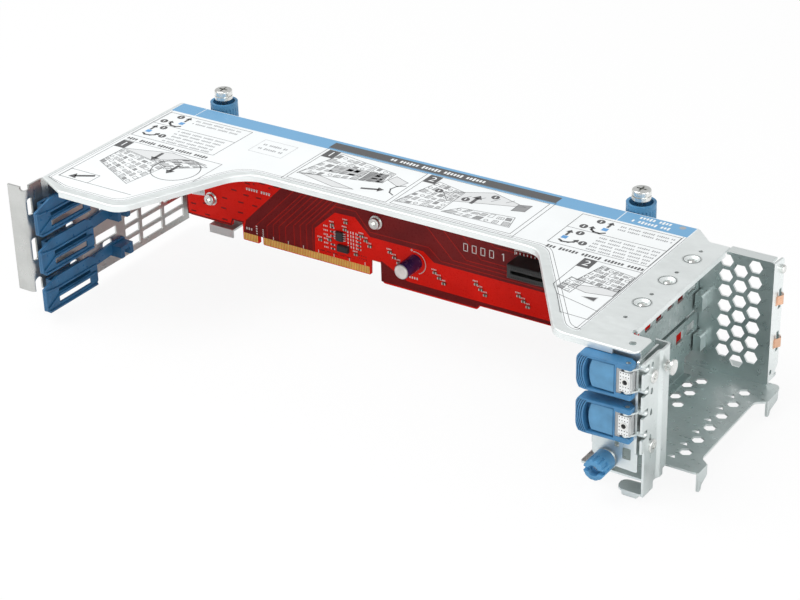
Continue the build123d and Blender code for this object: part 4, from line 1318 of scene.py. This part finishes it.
@dataclass
class Guides:
    """Card guides: the snap-in base with its groove, and the thin slotted face plate in front of it."""

    places: tuple[str, ...] = ("top", "middle", "bottom")
    centres: tuple[float, ...] = (-17.98, -38.3, -58.62)
    face_back: float = 6.3
    face_thickness: float = 1.3
    columns: tuple[float, ...] = (-121.2, -117.0, -110.6, -87.4, -84.0, -82.4)
    rows: tuple[float, ...] = (-6.9, -4.4, -1.5, 0.6, 3.6, 7.0, 10.0)
    open_rows: tuple[int, ...] = (1, 3)
    open_column: int = 2
    nose_end: float = -110.0
    nose_height: float = 6.4
    nose_rise: float = 0.33
    tail_start: float = -85.0
    upper_heights: Point = (10.0, 8.2)
    lower_heights: Point = (-6.9, -5.0)
    base_front: float = -112.4
    cut_middle: Triple = (2.5, -92.0, -5.2)
    cut_size: Triple = (12.0, 34.0, 8.2)
    rib_height: float = 1.0
    rib_foot: float = 0.35
    face_rounding: float = 0.35
    rib_rounding: float = 0.25
    ribs: tuple[tuple[Point, Point, float], ...] = (
        ((-120.5, 5.6), (-120.5, -4.6), 1.1),
        ((-120.5, -4.6), (-118.4, -6.3), 1.1),
        ((-118.4, -6.3), (-84.0, -6.3), 1.1),
        ((-119.6, -4.4), (-110.8, 0.1), 0.8),
        ((-119.8, 5.2), (-110.8, 4.1), 0.8),
        ((-110.8, 4.1), (-83.6, 4.1), 1.0),
        ((-110.8, 0.1), (-83.6, 0.1), 1.0),
    )

    def upper_edge(self, y: float) -> float:
        """Height of the face's upper edge above the guide's centre."""
        if y < self.nose_end:
            return self.nose_height + (y - self.columns[0]) * self.nose_rise
        return self.upper_heights[0] if y < self.tail_start else self.upper_heights[1]

    def lower_edge(self, y: float) -> float:
        """Height of the face's lower edge above the guide's centre."""
        ends = (self.columns[0], self.columns[-1])
        return self.lower_heights[1] if y in ends else self.lower_heights[0]

    def base(self, place: str, centre: float) -> None:
        """Base of the guide without its front end and the part behind the slot.

        Args:
            place: top, middle or bottom.
            centre: middle of the guide's height.
        """
        bpy.ops.object.select_all(action="DESELECT")
        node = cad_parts["card_guide_" + place]
        node.select_set(True)
        bpy.context.view_layer.objects.active = node
        bpy.ops.object.duplicate()
        piece = bpy.context.active_object
        piece.name = "guide_base_" + place
        mode("EDIT")
        bpy.ops.mesh.select_all(action="SELECT")
        bpy.ops.mesh.remove_doubles(threshold=0.000001)
        plane = CAGE.at(0, self.base_front, 0)
        bpy.ops.mesh.bisect(plane_co=plane, plane_no=(0, 1, 0), use_fill=True, clear_inner=True)
        mode("OBJECT")
        x, y, z = self.cut_middle
        middle = CAGE.at(x, y, centre + z)
        cutter = add(bpy.ops.mesh.primitive_cube_add, "cutter", size=MM, location=middle)
        cutter.scale = self.cut_size
        bpy.ops.object.transform_apply(location=False, rotation=False, scale=True)
        bpy.context.view_layer.objects.active = piece
        modify(piece, "BOOLEAN", object=cutter, operation="DIFFERENCE")
        bpy.data.objects.remove(cutter)
        WARDROBE.mount(piece, BLUE_NAVY)
        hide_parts("card_guide_" + place)

    def face(self, place: str, centre: float) -> None:
        """Thin face plate with the card groove's mouth and the long slot.

        Args:
            place: top, middle or bottom.
            centre: middle of the guide's height.
        """
        spots = [(y, z) for z in self.rows for y in self.columns]
        across = len(self.columns) - 1
        piece = add(
            bpy.ops.mesh.primitive_grid_add,
            "guide_face_" + place,
            x_subdivisions=across,
            y_subdivisions=len(self.rows) - 1,
            size=MM,
        )
        for vertex, (y, z) in zip(piece.data.vertices, spots):
            height = min(max(z, self.lower_edge(y)), self.upper_edge(y))
            vertex.co = CAGE.at(self.face_back, y, centre + height)
        mode("EDIT")
        bpy.ops.mesh.select_mode(type="FACE")
        bpy.ops.mesh.select_all(action="DESELECT")
        mode("OBJECT")
        for row in self.open_rows:
            piece.data.polygons[row * across + self.open_column].select = True
        mode("EDIT")
        bpy.ops.mesh.delete(type="FACE")
        bpy.ops.mesh.select_all(action="SELECT")
        bpy.ops.mesh.remove_doubles(threshold=0.00005)
        bpy.ops.mesh.normals_make_consistent(inside=False)
        mode("OBJECT")
        outward = 1 if piece.data.polygons[0].normal.x > 0 else -1
        modify(piece, "SOLIDIFY", thickness=self.face_thickness * MM, offset=outward)
        self.soften(piece, self.face_rounding)

    def soften(self, piece: bpy.types.Object, width: float) -> None:
        """Rounds a piece's sharp edges, dresses it and sets it on the cage.

        Args:
            piece: the piece.
            width: width of the rounding in millimetres.
        """
        modify(piece, "BEVEL", width=width * MM, segments=3, limit_method="ANGLE")
        WARDROBE.mount(piece, BLUE_NAVY)

    def rib(self, name: str, start: Point, end: Point, width: float) -> None:
        """Raised rib on the face plate between two points.

        Args:
            name: the piece's name.
            start: one end, along the guide and up.
            end: the other end.
            width: the rib's width.
        """
        length = math.hypot(end[0] - start[0], end[1] - start[1])
        tilt = math.atan2(end[1] - start[1], end[0] - start[0])
        x = self.face_back + self.face_thickness + self.rib_foot
        place = CAGE.at(x, (start[0] + end[0]) / 2, (start[1] + end[1]) / 2)
        turn = (tilt, 0, 0)
        piece = add(bpy.ops.mesh.primitive_cube_add, name, size=MM, location=place, rotation=turn)
        piece.scale = (self.rib_height, length + width * 0.6, width)
        bpy.ops.object.transform_apply(location=True, rotation=True, scale=True)
        self.soften(piece, self.rib_rounding)

    def build(self) -> None:
        """Builds the three guides."""
        for place, centre in zip(self.places, self.centres):
            self.base(place, centre)
            self.face(place, centre)
            for number, ((y0, z0), (y1, z1), width) in enumerate(self.ribs):
                name = f"guide_rib_{place}_{number}"
                self.rib(name, (y0, z0 + centre), (y1, z1 + centre), width)


@dataclass
class Latches:
    """Painted shade in the holes of the two latches."""

    plate_face: float = 119.5
    window_face: float = 119.3
    ring_x: float = 318.7
    ring_radius: float = 2.1
    dot_rows: int = 6
    dot_columns: int = 4
    first_dot: Point = (0.55, 3.9)
    dot_pitch: Point = (1.2, 1.56)
    dot_radius: float = 0.24
    hole_radius: float = 1.05

    def dots(self, place: str) -> None:
        """Dots painted dark as shade in the pierced white plate's holes, and a painted shadow disc in the
        hole of its ring.

        Args:
            place: upper or lower.
        """
        left, middle = CAGE.left_middle("latch_plate_" + place)
        # dark dots: painted shade in the plate's holes
        dots = Marks("latch_dot_shadows_" + place, Side.BOARD, SHADOW, self.plate_face)
        for row in range(self.dot_rows):
            for column in range(self.dot_columns):
                x = left + self.first_dot[0] + self.dot_pitch[0] * column
                z = middle + self.first_dot[1] - self.dot_pitch[1] * row
                if math.hypot(x - self.ring_x, z - middle) > self.ring_radius:
                    dots.disc(x, z, self.dot_radius, 10)
        dots.print_on("latch_" + place)
        # dark disc in the ring's hole: painted shadow
        hole = Marks("latch_hole_shadow_" + place, Side.BOARD, SHADOW, self.window_face)
        hole.disc(self.ring_x, middle, self.hole_radius, 20)
        hole.print_on("latch_" + place)

    def build(self) -> None:
        """Marks both latches."""
        for place in ("upper", "lower"):
            self.dots(place)


@dataclass
class Studio:
    """White floor, soft lamps and the camera."""

    focal: float = 96.15
    film_width: float = 36.0
    floor_size: float = 6.0
    floor_white: float = 0.9
    aim: Triple = (0, 0, 0.03)
    floor_glow: float = 0.9
    world_light: float = 0.62
    place: Triple = (656.8, -779.5, 416.7)
    right: Triple = (0.83604, 0.54812, -0.02452)
    up: Triple = (-0.23770, 0.40213, 0.88419)
    back: Triple = (0.49450, -0.73339, 0.46648)
    lamps: tuple[tuple[str, Triple, float, float], ...] = (
        ("key_lamp", (-0.5, -0.3, 1.1), 0.8, 9.0),
        ("fill_lamp", (0.9, -0.7, 0.5), 0.7, 3.0),
        ("side_lamp", (1.3, 0.1, 0.3), 0.6, 3.0),
    )

    def camera(self) -> None:
        """Sets the camera where the photograph was taken."""
        data = bpy.data.cameras.new("camera")
        data.lens = self.focal
        data.sensor_width = self.film_width
        data.clip_start = 0.01
        camera = bpy.data.objects.new("camera", data)
        bpy.context.collection.objects.link(camera)
        turn = Matrix((self.right, self.up, self.back)).transposed()
        camera.matrix_world = Matrix.Translation(CAGE.at(*self.place)) @ turn.to_4x4()
        bpy.context.scene.camera = camera

    def floor(self) -> None:
        """Lays the white floor that keeps a faint shadow."""
        low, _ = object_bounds()
        place = (0, 0, low[2] - 0.2 * MM)
        floor = add(bpy.ops.mesh.primitive_plane_add, "floor", size=self.floor_size, location=place)
        shader = Shader("floor_white")
        shader.set(Base_Color=(*[self.floor_white] * 3, 1), Roughness=0.9)
        glow = shader.node("ShaderNodeEmission")
        glow.inputs["Color"].default_value = (1, 1, 1, 1)
        seen = shader.node("ShaderNodeLightPath")
        share = shader.node("ShaderNodeMath", operation="MULTIPLY")
        share.inputs[1].default_value = self.floor_glow
        shader.link(seen.outputs["Is Camera Ray"], share, 0)
        mix = shader.node("ShaderNodeMixShader")
        shader.link(share.outputs[0], mix, 0)
        shader.link(shader.surface.outputs[0], mix, 1)
        shader.link(glow.outputs[0], mix, 2)
        shader.link(mix.outputs[0], shader.output, "Surface")
        floor.data.materials.append(shader.material)
        floor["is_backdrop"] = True

    def world(self) -> None:
        """White surroundings, a little softer as light than they look."""
        world = bpy.data.worlds.new("studio")
        world.use_nodes = True
        bpy.context.scene.world = world
        tree = world.node_tree
        background = tree.nodes["Background"]
        background.inputs["Color"].default_value = (1, 1, 1, 1)
        path = tree.nodes.new("ShaderNodeLightPath")
        seen = tree.nodes.new("ShaderNodeMath")
        seen.operation = "MAXIMUM"
        tree.links.new(path.outputs["Is Camera Ray"], seen.inputs[0])
        tree.links.new(path.outputs["Is Transmission Ray"], seen.inputs[1])
        level = tree.nodes.new("ShaderNodeMapRange")
        level.inputs["To Min"].default_value = self.world_light
        level.inputs["To Max"].default_value = 1.0
        tree.links.new(seen.outputs[0], level.inputs["Value"])
        tree.links.new(level.outputs[0], background.inputs["Strength"])

    def lamp(self, name: str, place: Triple, size: float, power: float) -> None:
        """Adds a soft lamp that points at the middle of the cage.

        Args:
            name: the lamp's name.
            place: where it hangs, in metres.
            size: its side in metres.
            power: watts.
        """
        data = bpy.data.lights.new(name, "AREA")
        data.shape = "SQUARE"
        data.size = size
        data.energy = power
        lamp = bpy.data.objects.new(name, data)
        bpy.context.collection.objects.link(lamp)
        lamp.location = place
        aim = Vector(self.aim) - Vector(place)
        lamp.rotation_euler = aim.to_track_quat("-Z", "Y").to_euler()

    def build(self) -> None:
        """Builds the stage and sets the colour view."""
        self.camera()
        self.floor()
        self.world()
        for name, place, size, power in self.lamps:
            self.lamp(name, place, size, power)
        bpy.context.scene.view_settings.view_transform = "Standard"


def main() -> None:
    """Builds the scene in order."""
    logging.basicConfig(level=logging.INFO)
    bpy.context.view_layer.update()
    Studio().build()
    WARDROBE.dress_nodes()
    Sheetmetal().build()
    Board().build()
    Label().build()
    Latches().build()
    Guides().build()


if __name__ == "__main__":
    main()
